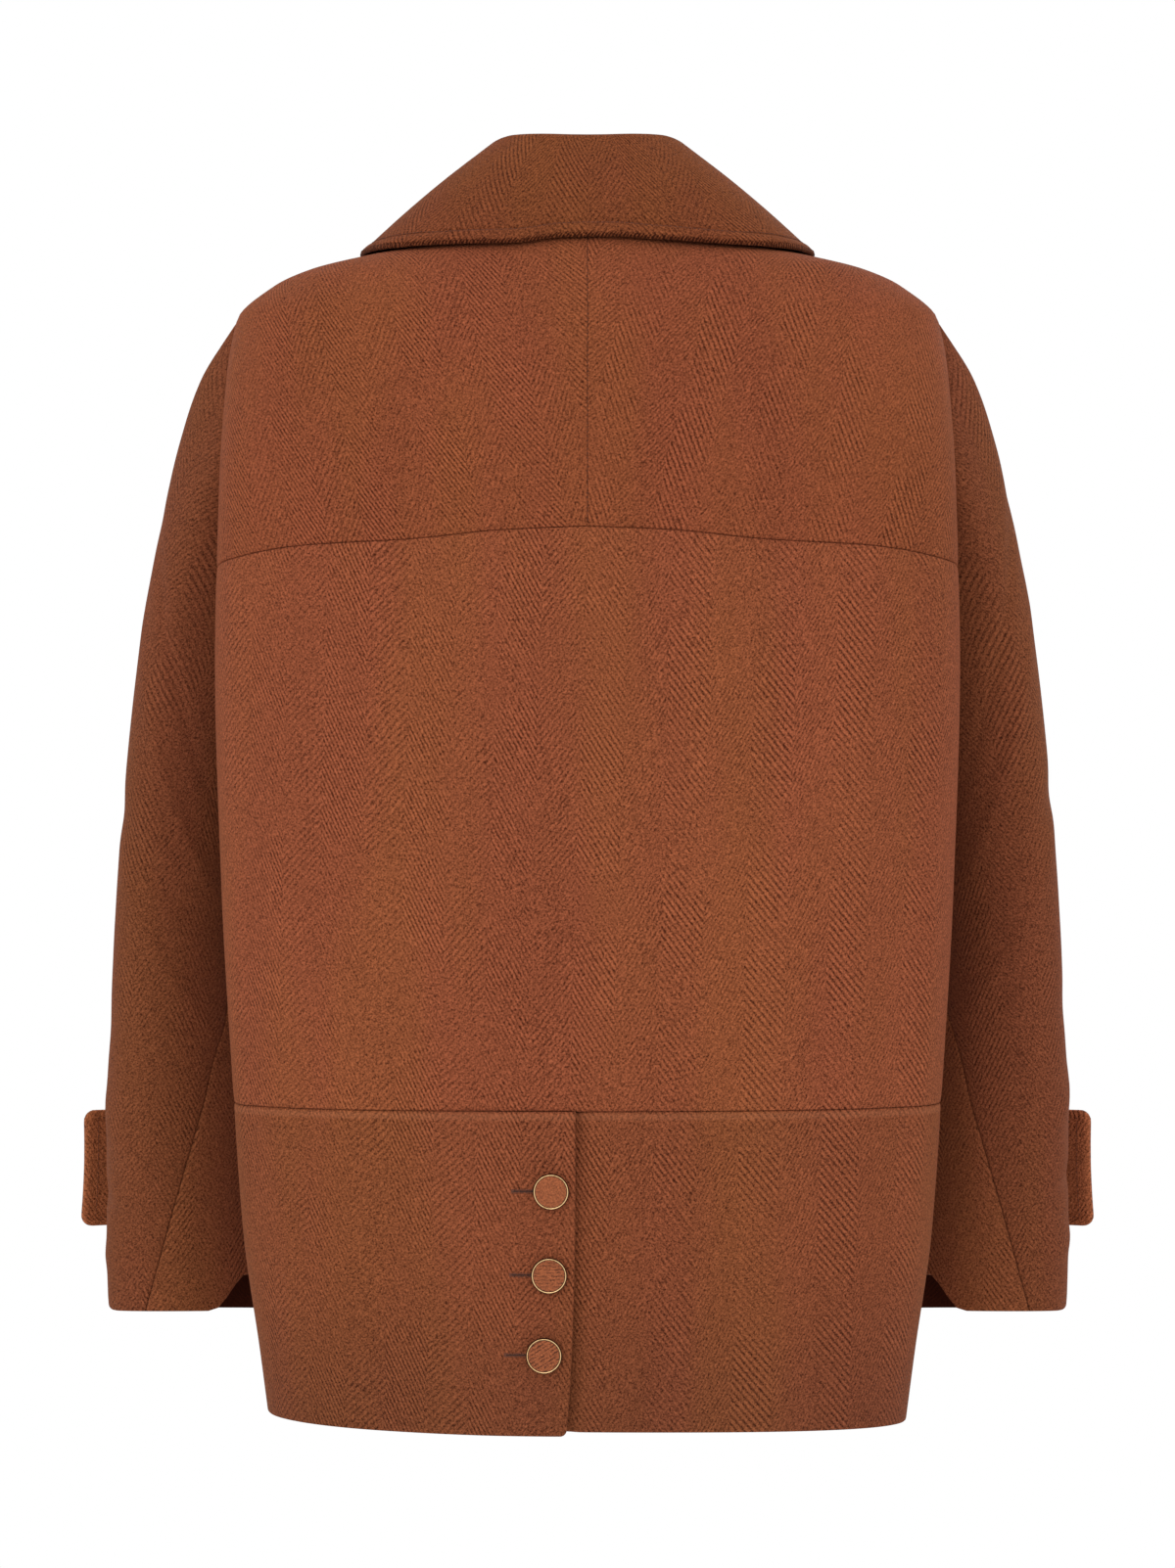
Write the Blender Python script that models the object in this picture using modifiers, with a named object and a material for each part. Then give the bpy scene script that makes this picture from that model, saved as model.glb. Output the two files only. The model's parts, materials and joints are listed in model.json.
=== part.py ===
"""A short wool coat, filled out as worn, with nobody in it.

Metres, +Z up. The origin is where the wearer's shoulders carry the coat: on the
middle plane, at the height of the base of the neck. The coat faces -Y, so its back
is at +Y, and the wearer's left is +X.

The shell is one surface around the trunk. A place on it is an angle round the
trunk, 0 at the centre back, 90 degrees at the side and 180 at the centre front,
and a height z. Every panel of the shell is a patch of that surface with a wall.
"""

import math

import bmesh
import bpy
import numpy as np
from mathutils import Matrix, Vector

OBJECT_NAME = "short_wool_coat"

# Cloth and seams
CLOTH = 0.0026
COLLAR_CLOTH = 0.0034
SEAM_GAP = 0.0003
LAP_OUT = 0.0019
LAP_IN = 0.0017
PROBE_ANGLE = 0.23
PROBE_HEIGHT = 0.0004

# Heights
SHOULDER_POINT_Z = -0.045
UNDERARM_Z = -0.280
BAND_SEAM_Z = -0.5195
LEFT_HEM = {"side": -0.7065, "centre": -0.7102}
RIGHT_HEM = {"side": -0.7120, "centre": -0.7080}
BACK_NECK_Z = 0.0100

# Angles round the trunk, in degrees
SIDE_SEAM = 108.0
RIDGE = 90.0
CENTRE_FRONT = 180.0
ARMHOLE_BACK_EASE = 2.0
ARMHOLE_FRONT_EASE = 29.0

# The trunk's sections: half_width at the widest line, which lies at widest_y
TRUNK = (
    # z, half_width, widest_y, back_y, front_y
    (0.0120, 0.0700, 0.000, 0.060, 0.066),
    (0.0000, 0.1000, 0.000, 0.080, 0.070),
    (-0.0080, 0.1430, 0.000, 0.088, 0.073),
    (-0.0150, 0.1716, 0.000, 0.094, 0.075),
    (-0.0246, 0.1926, 0.000, 0.101, 0.079),
    (-0.0450, 0.2145, 0.002, 0.112, 0.086),
    (-0.0800, 0.2195, 0.018, 0.123, 0.097),
    (-0.1500, 0.2222, 0.045, 0.134, 0.113),
    (-0.2550, 0.2246, 0.045, 0.138, 0.126),
    (-0.3900, 0.2207, 0.045, 0.137, 0.130),
    (-0.5100, 0.2140, 0.042, 0.135, 0.130),
    (-0.6000, 0.2078, 0.038, 0.133, 0.128),
    (-0.6700, 0.1983, 0.032, 0.131, 0.126),
    (-0.7150, 0.1925, 0.030, 0.130, 0.125),
)
TRUNK_COLUMNS = "z half_width widest_y back_y front_y".split()

# How square each section is: 2 is an ellipse, more is squarer and less is leaner
SQUARENESS = (
    # angle, power
    (0.0, 2.4),
    (72.0, 2.4),
    (112.0, 1.7),
    (140.0, 1.7),
    (168.0, 2.0),
    (180.0, 2.0),
)

# The yoke's lower seam is a low arch
YOKE_SEAM = (
    # angle, z
    (0.0, -0.1764),
    (13.0, -0.1786),
    (27.0, -0.1838),
    (46.0, -0.1868),
    (66.0, -0.1929),
    (90.0, -0.1976),
    (98.0, -0.1988),
)

# The neckline is level round the back and sides, and scooped at the front
NECKLINE = (
    # angle, z
    (0.0, BACK_NECK_Z),
    (90.0, BACK_NECK_Z),
    (112.0, 0.0060),
    (133.0, -0.0010),
    (150.0, -0.0080),
    (158.0, -0.0140),
    (167.0, -0.0300),
    (174.0, -0.0480),
    (180.0, -0.0600),
)

# Rows and columns of the patches
ARMHOLE_STEPS = 10
YOKE_ARMHOLE_STEPS = 6
SHOULDER_STEPS = 6
SIDE_STEPS = 7
BAND_STEPS = 5
FINE_STEPS = 400
HALF_BACK_STEPS = 14
FRONT_STEPS = 9
YOKE_LEVEL_TO = 0.15
FRONT_EVEN_FROM = 0.6

# The back lap of the band: where its edge and the under flap's edge lie
LAP_EDGE_X = 0.0070
LAP_EDGE_SWING = 0.0050
LAP_UNDER_X = 0.0480
LAP_STEPS = 3
LAP_FADE_ANGLE = 20.0
LAP_DIP_ANGLE = 8.0
LAP_COLUMN_APART = 3.0

# The front lap, half on each side of the centre front
FRONT_LAP_ANGLE = 7.0
FRONT_LAP_STEPS = 2
FRONT_LAP_FADE_ANGLE = 22.0

# Sleeves: sections of a slanted tube, from the shoulder point to the cuff
SLEEVE = (
    # z, outer_x, inner_x, centre_y, half_depth
    (-0.045, 0.2160, 0.150, 0.000, 0.040),
    (-0.081, 0.2405, 0.165, -0.012, 0.054),
    (-0.117, 0.2540, 0.180, -0.022, 0.062),
    (-0.153, 0.2632, 0.190, -0.031, 0.067),
    (-0.189, 0.2700, 0.196, -0.039, 0.068),
    (-0.224, 0.2755, 0.199, -0.045, 0.067),
    (-0.260, 0.2798, 0.201, -0.050, 0.066),
    (-0.333, 0.2864, 0.203, -0.055, 0.063),
    (-0.406, 0.2920, 0.203, -0.060, 0.060),
    (-0.479, 0.2961, 0.200, -0.064, 0.058),
    (-0.532, 0.2988, 0.197, -0.067, 0.056),
    (-0.610, 0.2991, 0.194, -0.069, 0.055),
    (-0.640, 0.2986, 0.193, -0.069, 0.054),
    (-0.654, 0.2976, 0.193, -0.069, 0.054),
    (-0.658, 0.2952, 0.193, -0.069, 0.054),
    (-0.662, 0.2945, 0.193, -0.069, 0.054),
)
SLEEVE_COLUMNS = "z outer_x inner_x centre_y half_depth".split()
SLEEVE_LEAN = 0.35
SLEEVE_ROWS = 20
SLEEVE_SETTLES = 0.62
SEAM_SETTLES = 0.45
MITRE_LIMIT = 0.75
MITRE_CLEARANCE = 0.12
CUFF_Z = -0.6570
CUFF_TILT = 0.0045
CUFF_RISE = 0.0225
CUFF_RISE_AT = 160.0
CUFF_RISE_SPREAD = 44.0
ARMHOLE_STAND_OFF = 0.0006
SLEEVE_ROW_SPREAD = 1.15
UPPER_FROM = -7
UPPER_COLUMNS = 15
UNDER_COLUMNS = 2 * ARMHOLE_STEPS - UPPER_COLUMNS
# Where the sleeve's two seams run round the tube, in degrees, from armhole to cuff
BACK_SEAM = ((0.0, 150.0), (0.54, 149.0), (0.63, 133.5), (0.79, 110.0), (0.9, 95.0), (1.0, 80.0))
FRONT_SEAM = ((0.0, -126.0), (0.55, -120.0), (1.0, -116.0))

# Cuff strap
STRAP_TOP_Z = -0.5332
STRAP_HEIGHT = 0.0732
STRAP_CLOTH = 0.0034
STRAP_LIFT = 0.0006
STRAP_FROM = -118.0
STRAP_LEAVES = -62.0
STRAP_REACH_X = 0.3172
STRAP_REACH_FLARE = 0.0022
STRAP_CORNER = 0.007
STRAP_ROWS = 6
STRAP_HELD_STEPS = 5
STRAP_FREE_STEPS = 4
STRAP_PROBE_TURN = 1.0

# Collar: base, roll and outer edge round the neck
COLLAR = (
    # angle, roll_x, roll_y, roll_z, edge_x, edge_y, edge_z
    (0.0, 0.0000, 0.0510, 0.0620, 0.0000, 0.0860, -0.0016),
    (20.0, 0.0200, 0.0500, 0.0625, 0.0420, 0.0866, -0.0045),
    (45.0, 0.0440, 0.0360, 0.0637, 0.0930, 0.0748, -0.0056),
    (70.0, 0.0568, 0.0160, 0.0598, 0.1272, 0.0430, -0.0060),
    (90.0, 0.0592, -0.0020, 0.0514, 0.1386, 0.0080, -0.0062),
    (112.0, 0.0575, -0.0180, 0.0430, 0.1388, -0.0200, -0.0077),
    (133.0, 0.0520, -0.0350, 0.0310, 0.1350, -0.0480, -0.0160),
    (150.0, 0.0470, -0.0460, 0.0240, 0.1270, -0.0700, -0.0320),
    (158.0, 0.0400, -0.0540, 0.0160, 0.1160, -0.0850, -0.0500),
    (167.0, 0.0280, -0.0660, 0.0010, 0.0950, -0.1020, -0.0820),
    (174.0, 0.0140, -0.0750, -0.0130, 0.0670, -0.1150, -0.1220),
)
COLLAR_COLUMNS = "angle roll_x roll_y roll_z edge_x edge_y edge_z".split()
COLLAR_END = 174.0
COLLAR_STEPS = 20
COLLAR_STEP_SPREAD = 1.35
COLLAR_ROLL = 0.0055
COLLAR_BOW = 0.0035
COLLAR_STAND_STEPS = 2
COLLAR_ROLL_STEPS = 4
COLLAR_FALL_STEPS = 5
COLLAR_CLEARANCE = 0.0010
COLLAR_OVER_LAP = (150.0, 165.0)
COLLAR_SEAT = -0.0003
COLLAR_LAP_SEAT = 0.0026
CLEARING_TRIES = 4

# Buttons: cloth tops set in metal rims
BUTTON_WIDTH = 0.0209
BUTTON_RIM = 0.0012
BUTTON_HEIGHT = 0.0042
BUTTON_DOME = 0.0009
BUTTON_SINK = 0.0012
BUTTON_SIDES = 20
BUTTON_LIP = 0.0003
BUTTON_EDGE = 0.0006
BUTTON_WAIST = 0.0019
BUTTON_TAPER = 0.0022
BUTTON_DOME_STEPS = 4
BUTTON_SEAT = 0.0003
BACK_BUTTONS = (
    # x, z
    (0.0212, -0.5659),
    (0.0223, -0.6151),
    (0.0252, -0.6621),
)
FRONT_BUTTONS_Z = (-0.170, -0.285, -0.400, -0.600)

WOOL = (0.243, 0.067, 0.028)
WOOL_DARK = (0.180, 0.052, 0.024)
BUTTON_CLOTH = (0.333, 0.102, 0.043)
PALE_GOLD = (0.760, 0.580, 0.330)

SHARP_EDGE = math.radians(40.0)
LEVEL = np.array([1.0, 1.0, 0.0])
UP = np.array([0.0, 0.0, 1.0])


# ---------------------------------------------------------------- small helpers


def column(rows, names, wanted):
    """One named column of a table, with the first column as its key, keys rising."""
    data = np.array(rows, float)
    data = data[np.argsort(data[:, 0])]
    return data[:, 0], data[:, names.index(wanted)]


def curve_through(keys, values, at):
    """A smooth curve through a table's rows that never overshoots them."""
    at = np.clip(np.asarray(at, float), keys[0], keys[-1])
    step = np.diff(keys)
    slope = np.diff(values) / step
    turn = np.zeros(len(keys))
    same = slope[:-1] * slope[1:] > 0
    safe = np.where(same, slope[:-1] + slope[1:], 1.0)
    turn[1:-1] = np.where(same, 2.0 * slope[:-1] * slope[1:] / safe, 0.0)
    turn[0], turn[-1] = slope[0], slope[-1]
    i = np.clip(np.searchsorted(keys, at, side="right") - 1, 0, len(step) - 1)
    t = (at - keys[i]) / step[i]
    start = (1 + 2 * t) * (1 - t) ** 2 * values[i]
    end = t * t * (3 - 2 * t) * values[i + 1]
    lean = t * (1 - t) * step[i] * ((1 - t) * turn[i] - t * turn[i + 1])
    return start + end + lean


def trunk(name, z):
    return curve_through(*column(TRUNK, TRUNK_COLUMNS, name), z)


def sleeve(name, z):
    return curve_through(*column(SLEEVE, SLEEVE_COLUMNS, name), z)


def collar_at(name, angle):
    return curve_through(*column(COLLAR, COLLAR_COLUMNS, name), angle)


def blend(a, b, share):
    return a + (b - a) * share


def smoothstep(value, start, end):
    t = np.clip((value - start) / (end - start), 0.0, 1.0)
    return t * t * (3 - 2 * t)


def unit(vectors):
    return vectors / np.maximum(np.linalg.norm(vectors, axis=-1, keepdims=True), 1e-12)


# ------------------------------------------------------------ the trunk's surface


def to_centre_front(angle):
    """The angle from the centre back, 0 to 180, whichever way round it was measured."""
    return CENTRE_FRONT - np.abs(np.abs(angle) - CENTRE_FRONT)


def trunk_point(angle, z):
    """The shell's outer point at each angle, in degrees, and height."""
    turn = np.radians(angle)
    side, back = np.sin(turn), np.cos(turn)
    power = curve_through(*np.array(SQUARENESS).T, to_centre_front(angle))
    reach = (np.abs(side) ** power + np.abs(back) ** power) ** (-1.0 / power)
    middle = trunk("widest_y", z)
    depth = np.where(back > 0, trunk("back_y", z) - middle, trunk("front_y", z) + middle)
    x = trunk("half_width", z) * side * reach
    return np.stack([x, middle + depth * back * reach, np.broadcast_to(z, x.shape)], -1)


def trunk_normal(angle, z):
    """Square to the shell, pointing out."""
    turned = trunk_point(angle + PROBE_ANGLE, z) - trunk_point(angle - PROBE_ANGLE, z)
    raised = trunk_point(angle, z + PROBE_HEIGHT) - trunk_point(angle, z - PROBE_HEIGHT)
    return unit(np.cross(raised, turned))


def neck_z(angle):
    """The neckline's height at each angle, past the centre front as before it."""
    return curve_through(*np.array(NECKLINE).T, to_centre_front(angle))


def armhole(step):
    """(z, back angle, front angle) of the armhole's edges, step 0 at the top."""
    turn = math.pi * np.asarray(step, float) / ARMHOLE_STEPS
    middle = 0.5 * (SHOULDER_POINT_Z + UNDERARM_Z)
    z = middle + 0.5 * (SHOULDER_POINT_Z - UNDERARM_Z) * np.cos(turn)
    centre = blend(RIDGE, SIDE_SEAM, 0.5 - 0.5 * np.cos(turn))
    back = centre - ARMHOLE_BACK_EASE * np.sin(turn)
    front = centre + ARMHOLE_FRONT_EASE * np.sin(turn)
    return z, back, front


def shoulder_rows():
    """Heights up the shoulder seam, evenly spaced across the shoulder."""
    fine = np.linspace(BACK_NECK_Z, SHOULDER_POINT_Z, FINE_STEPS)
    half_width = trunk("half_width", fine)
    x = np.linspace(half_width[-1], half_width[0], SHOULDER_STEPS + 1)[1:]
    return np.interp(x, half_width, fine)


# ------------------------------------------------------------------ cloth walls


def seam_gap(grid, edges):
    """Draws the named edges of a grid of points in by half a seam's gap."""
    rims = {"first_row": (0, 1), "last_row": (-1, -2)}
    turned = {"first_column": (0, 1), "last_column": (-1, -2)}
    for name, (rim, inside) in rims.items():
        if name in edges:
            grid[rim] += unit(grid[inside] - grid[rim]) * SEAM_GAP / 2
    for name, (rim, inside) in turned.items():
        if name in edges:
            grid[:, rim] += unit(grid[:, inside] - grid[:, rim]) * SEAM_GAP / 2
    return grid


def wall(name, outer, inner, material):
    """A closed wall between two grids of points, lofted row by row."""
    shape = bmesh.new()
    rows, columns = outer.shape[:2]
    faces_out = [[shape.verts.new(p) for p in row] for row in outer]
    faces_in = [[shape.verts.new(p) for p in row] for row in inner]
    for r in range(rows - 1):
        for c in range(columns - 1):
            for grid in (faces_out, faces_in):
                low, high = grid[r], grid[r + 1]
                shape.faces.new((low[c], low[c + 1], high[c + 1], high[c]))
    rim = [((r, c), (r + 1, c)) for c in (0, columns - 1) for r in range(rows - 1)]
    rim += [((r, c), (r, c + 1)) for r in (0, rows - 1) for c in range(columns - 1)]
    for (r, c), (r2, c2) in rim:
        shape.faces.new((faces_out[r][c], faces_out[r2][c2], faces_in[r2][c2]))
        shape.faces.new((faces_out[r][c], faces_in[r2][c2], faces_in[r][c]))
    bmesh.ops.recalc_face_normals(shape, faces=shape.faces)
    return add_mesh(name, shape, material)


def add_mesh(name, shape, material):
    mesh = bpy.data.meshes.new(name)
    shape.to_mesh(mesh)
    shape.free()
    mesh.materials.append(material)
    mesh.shade_smooth()
    mesh.set_sharp_from_angle(angle=SHARP_EDGE)
    piece = bpy.data.objects.new(name, mesh)
    parts.objects.link(piece)
    return piece


def panel(name, angle, z, side, edges, material, out=0.0):
    """A patch of the shell with the cloth's thickness. side is +1 or -1 in x."""
    normal = trunk_normal(angle, z)
    outer = trunk_point(angle, z) + normal * np.broadcast_to(out, z.shape)[..., None]
    outer = seam_gap(outer, edges)
    inner = outer - normal * CLOTH
    mirror = np.array([side, 1.0, 1.0])
    return wall(name, outer * mirror, inner * mirror, material)


# ------------------------------------------------------------------ the panels


def back_angles():
    """Angles from the centre back to the side seam, one for each column."""
    return np.linspace(0.0, SIDE_SEAM, HALF_BACK_STEPS + 1)


def yoke_seam_z(angle):
    return curve_through(*np.array(YOKE_SEAM).T, np.abs(angle))


def build_yoke(side, material):
    """Half of the back yoke: centre back to armhole and shoulder seam."""
    armhole_z, armhole_back, _ = armhole(np.arange(YOKE_ARMHOLE_STEPS, -1, -1))
    side_z = np.concatenate([armhole_z, shoulder_rows()])
    side_angle = np.concatenate([armhole_back, np.full(SHOULDER_STEPS, RIDGE)])
    share = np.linspace(0.0, 1.0, HALF_BACK_STEPS + 1)[None, :]
    angle = share * side_angle[:, None]
    seam = yoke_seam_z(angle[0])
    rise = np.linspace(0.0, 1.0, len(side_z))[:, None]
    centre_z = blend(seam[None, :], BACK_NECK_Z, rise)
    lean = smoothstep(share, YOKE_LEVEL_TO, 1.0)
    z = blend(centre_z, side_z[:, None], lean)
    z[0] = seam
    edges = {"first_row", "last_column", "first_column"}
    name = "back_yoke_left" if side > 0 else "back_yoke_right"
    return panel(name, angle, z, side, edges, material)


def build_back_body(material):
    """The back below the yoke, in one piece from side seam to side seam."""
    side_low = np.linspace(BAND_SEAM_Z, UNDERARM_Z, SIDE_STEPS + 1)
    steps = np.arange(ARMHOLE_STEPS - 1, YOKE_ARMHOLE_STEPS - 1, -1)
    armhole_z, armhole_back, _ = armhole(steps)
    side_z = np.concatenate([side_low, armhole_z])
    side_angle = np.concatenate([np.full(SIDE_STEPS + 1, SIDE_SEAM), armhole_back])
    share = np.linspace(-1.0, 1.0, 2 * HALF_BACK_STEPS + 1)[None, :]
    angle = share * side_angle[:, None]
    top = yoke_seam_z(angle[-1])
    rise = (side_z - BAND_SEAM_Z) / (side_z[-1] - BAND_SEAM_Z)
    z = blend(BAND_SEAM_Z, top[None, :], rise[:, None])
    edges = {"first_row", "last_row", "first_column", "last_column"}
    return panel("back_body", angle, z, 1, edges, material)


def angle_of_x(x, z):
    """The angle near the centre back at which the shell is x off the middle plane."""
    return np.degrees(np.arcsin(x / trunk("half_width", z)))


def band_rows(angle, hem):
    """Heights of a band's rows: level at the seam, and following its hem below."""
    share = np.linspace(0.0, 1.0, BAND_STEPS + 1)[:, None]
    edge = blend(hem["centre"], hem["side"], np.sin(np.radians(np.abs(angle))) ** 2)
    return blend(BAND_SEAM_Z, edge, share)


def lap_angles(hem):
    """Angles of the back lap's columns, from the over flap's edge to the under flap's."""
    z = band_rows(np.zeros(1), hem)
    drop = (z - BAND_SEAM_Z) / (hem["centre"] - BAND_SEAM_Z)
    edge = angle_of_x(LAP_EDGE_X + LAP_EDGE_SWING * drop**3, z)
    across = np.linspace(0.0, 1.0, LAP_STEPS + 1)[None, :]
    return blend(edge, angle_of_x(LAP_UNDER_X, z), across)


def build_band_back_left(material):
    """The left half of the back band. Its edge laps over the right half."""
    lap = lap_angles(LEFT_HEM)
    free = back_angles()[back_angles() > np.max(lap) + LAP_COLUMN_APART]
    angle = np.concatenate([lap, np.tile(free, (len(lap), 1))], axis=1)
    out = LAP_OUT * (1.0 - smoothstep(angle, np.max(lap), np.max(lap) + LAP_FADE_ANGLE))
    z = band_rows(angle[0], LEFT_HEM)
    edges = {"first_row", "last_column"}
    return panel("band_back_left", angle, z, 1, edges, material, out)


def build_band_back_right(material):
    """The right half of the back band. Its edge runs on under the left half."""
    lap = lap_angles(RIGHT_HEM)
    free = np.tile(-back_angles()[::-1], (len(lap), 1))
    angle = np.concatenate([free, lap], axis=1)
    out = -LAP_IN * smoothstep(angle, -LAP_DIP_ANGLE, np.min(lap))
    z = band_rows(angle[0], RIGHT_HEM)
    edges = {"first_row", "first_column"}
    return panel("band_back_right", angle, z, 1, edges, material, out)


def front_columns(side_angle):
    """Angles from each row's side edge to the lap's edge past the centre front."""
    half = np.linspace(-FRONT_LAP_ANGLE, FRONT_LAP_ANGLE, 2 * FRONT_LAP_STEPS + 1)
    lap = CENTRE_FRONT + half
    share = np.linspace(0.0, 1.0, FRONT_STEPS + 1)[None, :-1]
    free = blend(side_angle[:, None], lap[0], share)
    return np.concatenate([free, np.tile(lap, (len(side_angle), 1))], axis=1)


def front_lap_out(angle, over):
    """How far a front stands out, or in, from the shell near the centre front."""
    start = CENTRE_FRONT - FRONT_LAP_ANGLE
    amount = smoothstep(angle, start - FRONT_LAP_FADE_ANGLE, start)
    return amount * (LAP_OUT if over else -LAP_IN)


def build_front(side, material):
    """A front: side seam and armhole to the lap at the centre front."""
    side_low = np.linspace(BAND_SEAM_Z, UNDERARM_Z, SIDE_STEPS + 1)
    armhole_z, _, armhole_front = armhole(np.arange(ARMHOLE_STEPS - 1, -1, -1))
    side_z = np.concatenate([side_low, armhole_z, shoulder_rows()])
    low_angle, top_angle = np.full(SIDE_STEPS + 1, SIDE_SEAM), np.full(SHOULDER_STEPS, RIDGE)
    side_angle = np.concatenate([low_angle, armhole_front, top_angle])
    angle = front_columns(side_angle)
    rise = (side_z - BAND_SEAM_Z) / (side_z[-1] - BAND_SEAM_Z)
    even = np.linspace(0.0, 1.0, len(side_z))
    centre_rise = blend(rise, even, smoothstep(even, 0.0, FRONT_EVEN_FROM))
    share = np.linspace(0.0, 1.0, angle.shape[1] - FRONT_LAP_STEPS)
    share = np.concatenate([share, np.ones(FRONT_LAP_STEPS)])[None, :]
    rise = blend(rise[:, None], centre_rise[:, None], smoothstep(share, 0.0, 1.0))
    z = blend(BAND_SEAM_Z, neck_z(angle[-1])[None, :], rise)
    edges = {"first_row", "first_column"}
    name = "front_left" if side > 0 else "front_right"
    out = front_lap_out(angle, over=side < 0)
    return panel(name, angle, z, side, edges, material, out)


def build_band_front(side, material):
    """The front's half of the hem band."""
    angle = front_columns(np.full(BAND_STEPS + 1, SIDE_SEAM))
    z = band_rows(angle[0], LEFT_HEM if side > 0 else RIGHT_HEM)
    edges = {"first_row", "first_column"}
    name = "band_front_left" if side > 0 else "band_front_right"
    out = front_lap_out(angle, over=side < 0)
    return panel(name, angle, z, side, edges, material, out)


# ------------------------------------------------------------------ the sleeves


def tube_point(turn, z):
    """A point of the free sleeve: turn 0 outside, 90 behind, 180 next to the trunk."""
    outer, inner = sleeve("outer_x", z), sleeve("inner_x", z)
    depth = sleeve("half_depth", z)
    half = np.sqrt((0.5 * (outer - inner)) ** 2 - (SLEEVE_LEAN * depth) ** 2)
    across, along = np.cos(np.radians(turn)), np.sin(np.radians(turn))
    x = 0.5 * (outer + inner) + half * across + SLEEVE_LEAN * depth * along
    return np.stack([x, sleeve("centre_y", z) + depth * along, z], -1)


def armhole_ring():
    """(turns, points, trunk normals) round the armhole, from the front seam by the top."""
    steps = UPPER_FROM + np.arange(2 * ARMHOLE_STEPS + 1)
    place = (steps + ARMHOLE_STEPS) % (2 * ARMHOLE_STEPS) - ARMHOLE_STEPS
    z, back, front = armhole(np.abs(place))
    angle = np.where(place >= 0, back, front)
    normal = trunk_normal(angle, z)
    points = trunk_point(angle, z) + normal * ARMHOLE_STAND_OFF
    return steps * 180.0 / ARMHOLE_STEPS, points, normal


def cuff_z(turn):
    """The cuff's edge: square to the forearm, and pushed up where it meets the trunk."""
    away = np.abs((turn - CUFF_RISE_AT + 180.0) % 360.0 - 180.0)
    pushed_up = CUFF_RISE * (1.0 - smoothstep(away, 0.0, CUFF_RISE_SPREAD))
    return CUFF_Z + CUFF_TILT * np.sin(np.radians(turn)) + pushed_up


def sleeve_columns(down):
    """Turns round the tube for each row, with a column on each of the two seams."""
    front = curve_through(*np.array(FRONT_SEAM).T, down)
    back = curve_through(*np.array(BACK_SEAM).T, down)
    upper = blend(front, back, np.linspace(0.0, 1.0, UPPER_COLUMNS + 1)[None, :])
    under = blend(back, front + 360.0, np.linspace(0.0, 1.0, UNDER_COLUMNS + 1)[None, 1:])
    return np.concatenate([upper, under], axis=1)


def sleeve_grid(ring_turn, ring, down):
    """Points all round a sleeve. down runs from 0 at the armhole to 1 at the cuff."""
    turn = blend(ring_turn[None, :], sleeve_columns(down), smoothstep(down, 0.0, SEAM_SETTLES))
    z = blend(ring[None, :, 2], cuff_z(turn), down)
    start = tube_point(ring_turn, ring[:, 2])
    fade = np.clip(1.0 - down / SLEEVE_SETTLES, 0.0, 1.0) ** 2
    return tube_point(turn, z) + (ring - start)[None] * fade[..., None] * LEVEL


def ring_normals(grid):
    """Normals of a grid whose last column is its first one again."""
    wrapped = np.concatenate([grid[:, -2:-1], grid, grid[:, 1:2]], axis=1)
    return grid_normals(wrapped)[:, 1:-1]


def grid_normals(grid):
    """Normals of a grid from its own rows and columns."""
    along = np.gradient(grid, axis=1)
    down = np.gradient(grid, axis=0)
    return unit(np.cross(down, along))


def build_sleeve(side):
    """Both pieces of a sleeve, parted at the back seam and the front seam."""
    ring_turn, ring, trunk_out = armhole_ring()
    down = (np.linspace(0.0, 1.0, SLEEVE_ROWS + 1) ** SLEEVE_ROW_SPREAD)[:, None]
    grid = sleeve_grid(ring_turn, ring, down)
    normal = ring_normals(grid)
    inward = -normal
    inward[0] = mitre(grid[0], normal[0], trunk_out)
    mirror = np.array([side, 1.0, 1.0])
    pieces = (
        ("sleeve_upper", slice(0, UPPER_COLUMNS + 1)),
        ("sleeve_under", slice(UPPER_COLUMNS, None)),
    )
    for kind, span in pieces:
        edges = {"first_row", "first_column", "last_column"}
        outer = seam_gap(grid[:, span].copy(), edges)
        name = kind + ("_left" if side > 0 else "_right")
        inner = outer + inward[:, span] * CLOTH
        wall(name, outer * mirror, inner * mirror, finish(f"{name}_wool", WOOL_DARK, 0.9))


def mitre(ring, sleeve_out, trunk_out):
    """Directions from the armhole ring's outer to its inner points, clear of the trunk."""
    along = unit(np.gradient(ring, axis=0))
    away = unit(np.cross(trunk_out, along))
    inward = -sleeve_out
    into = np.clip((inward * away).sum(-1, keepdims=True), 0.0, MITRE_LIMIT)
    return (inward - away * into) / (1.0 - into**2) - away * MITRE_CLEARANCE


def strap_line(height):
    """One level line along a strap's middle: round the cuff, then straight on."""
    turns = np.linspace(STRAP_FROM, STRAP_LEAVES, STRAP_HELD_STEPS + 1)
    level = np.full(turns.shape, height)
    held = tube_point(turns, level)
    along = unit(tube_point(turns + STRAP_PROBE_TURN, level) - held)
    out = np.stack([along[:, 1], -along[:, 0], np.zeros(len(turns))], -1)
    held = held + out * (STRAP_LIFT + STRAP_CLOTH / 2)
    drop = (STRAP_TOP_Z - height) / STRAP_HEIGHT
    reach = STRAP_REACH_X + STRAP_REACH_FLARE * drop - strap_corner(drop)
    run = (reach - held[-1, 0]) / along[-1, 0]
    steps = np.arange(1, STRAP_FREE_STEPS + 1)[:, None] / STRAP_FREE_STEPS
    return np.concatenate([held, held[-1] + along[-1] * run * steps])


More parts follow.
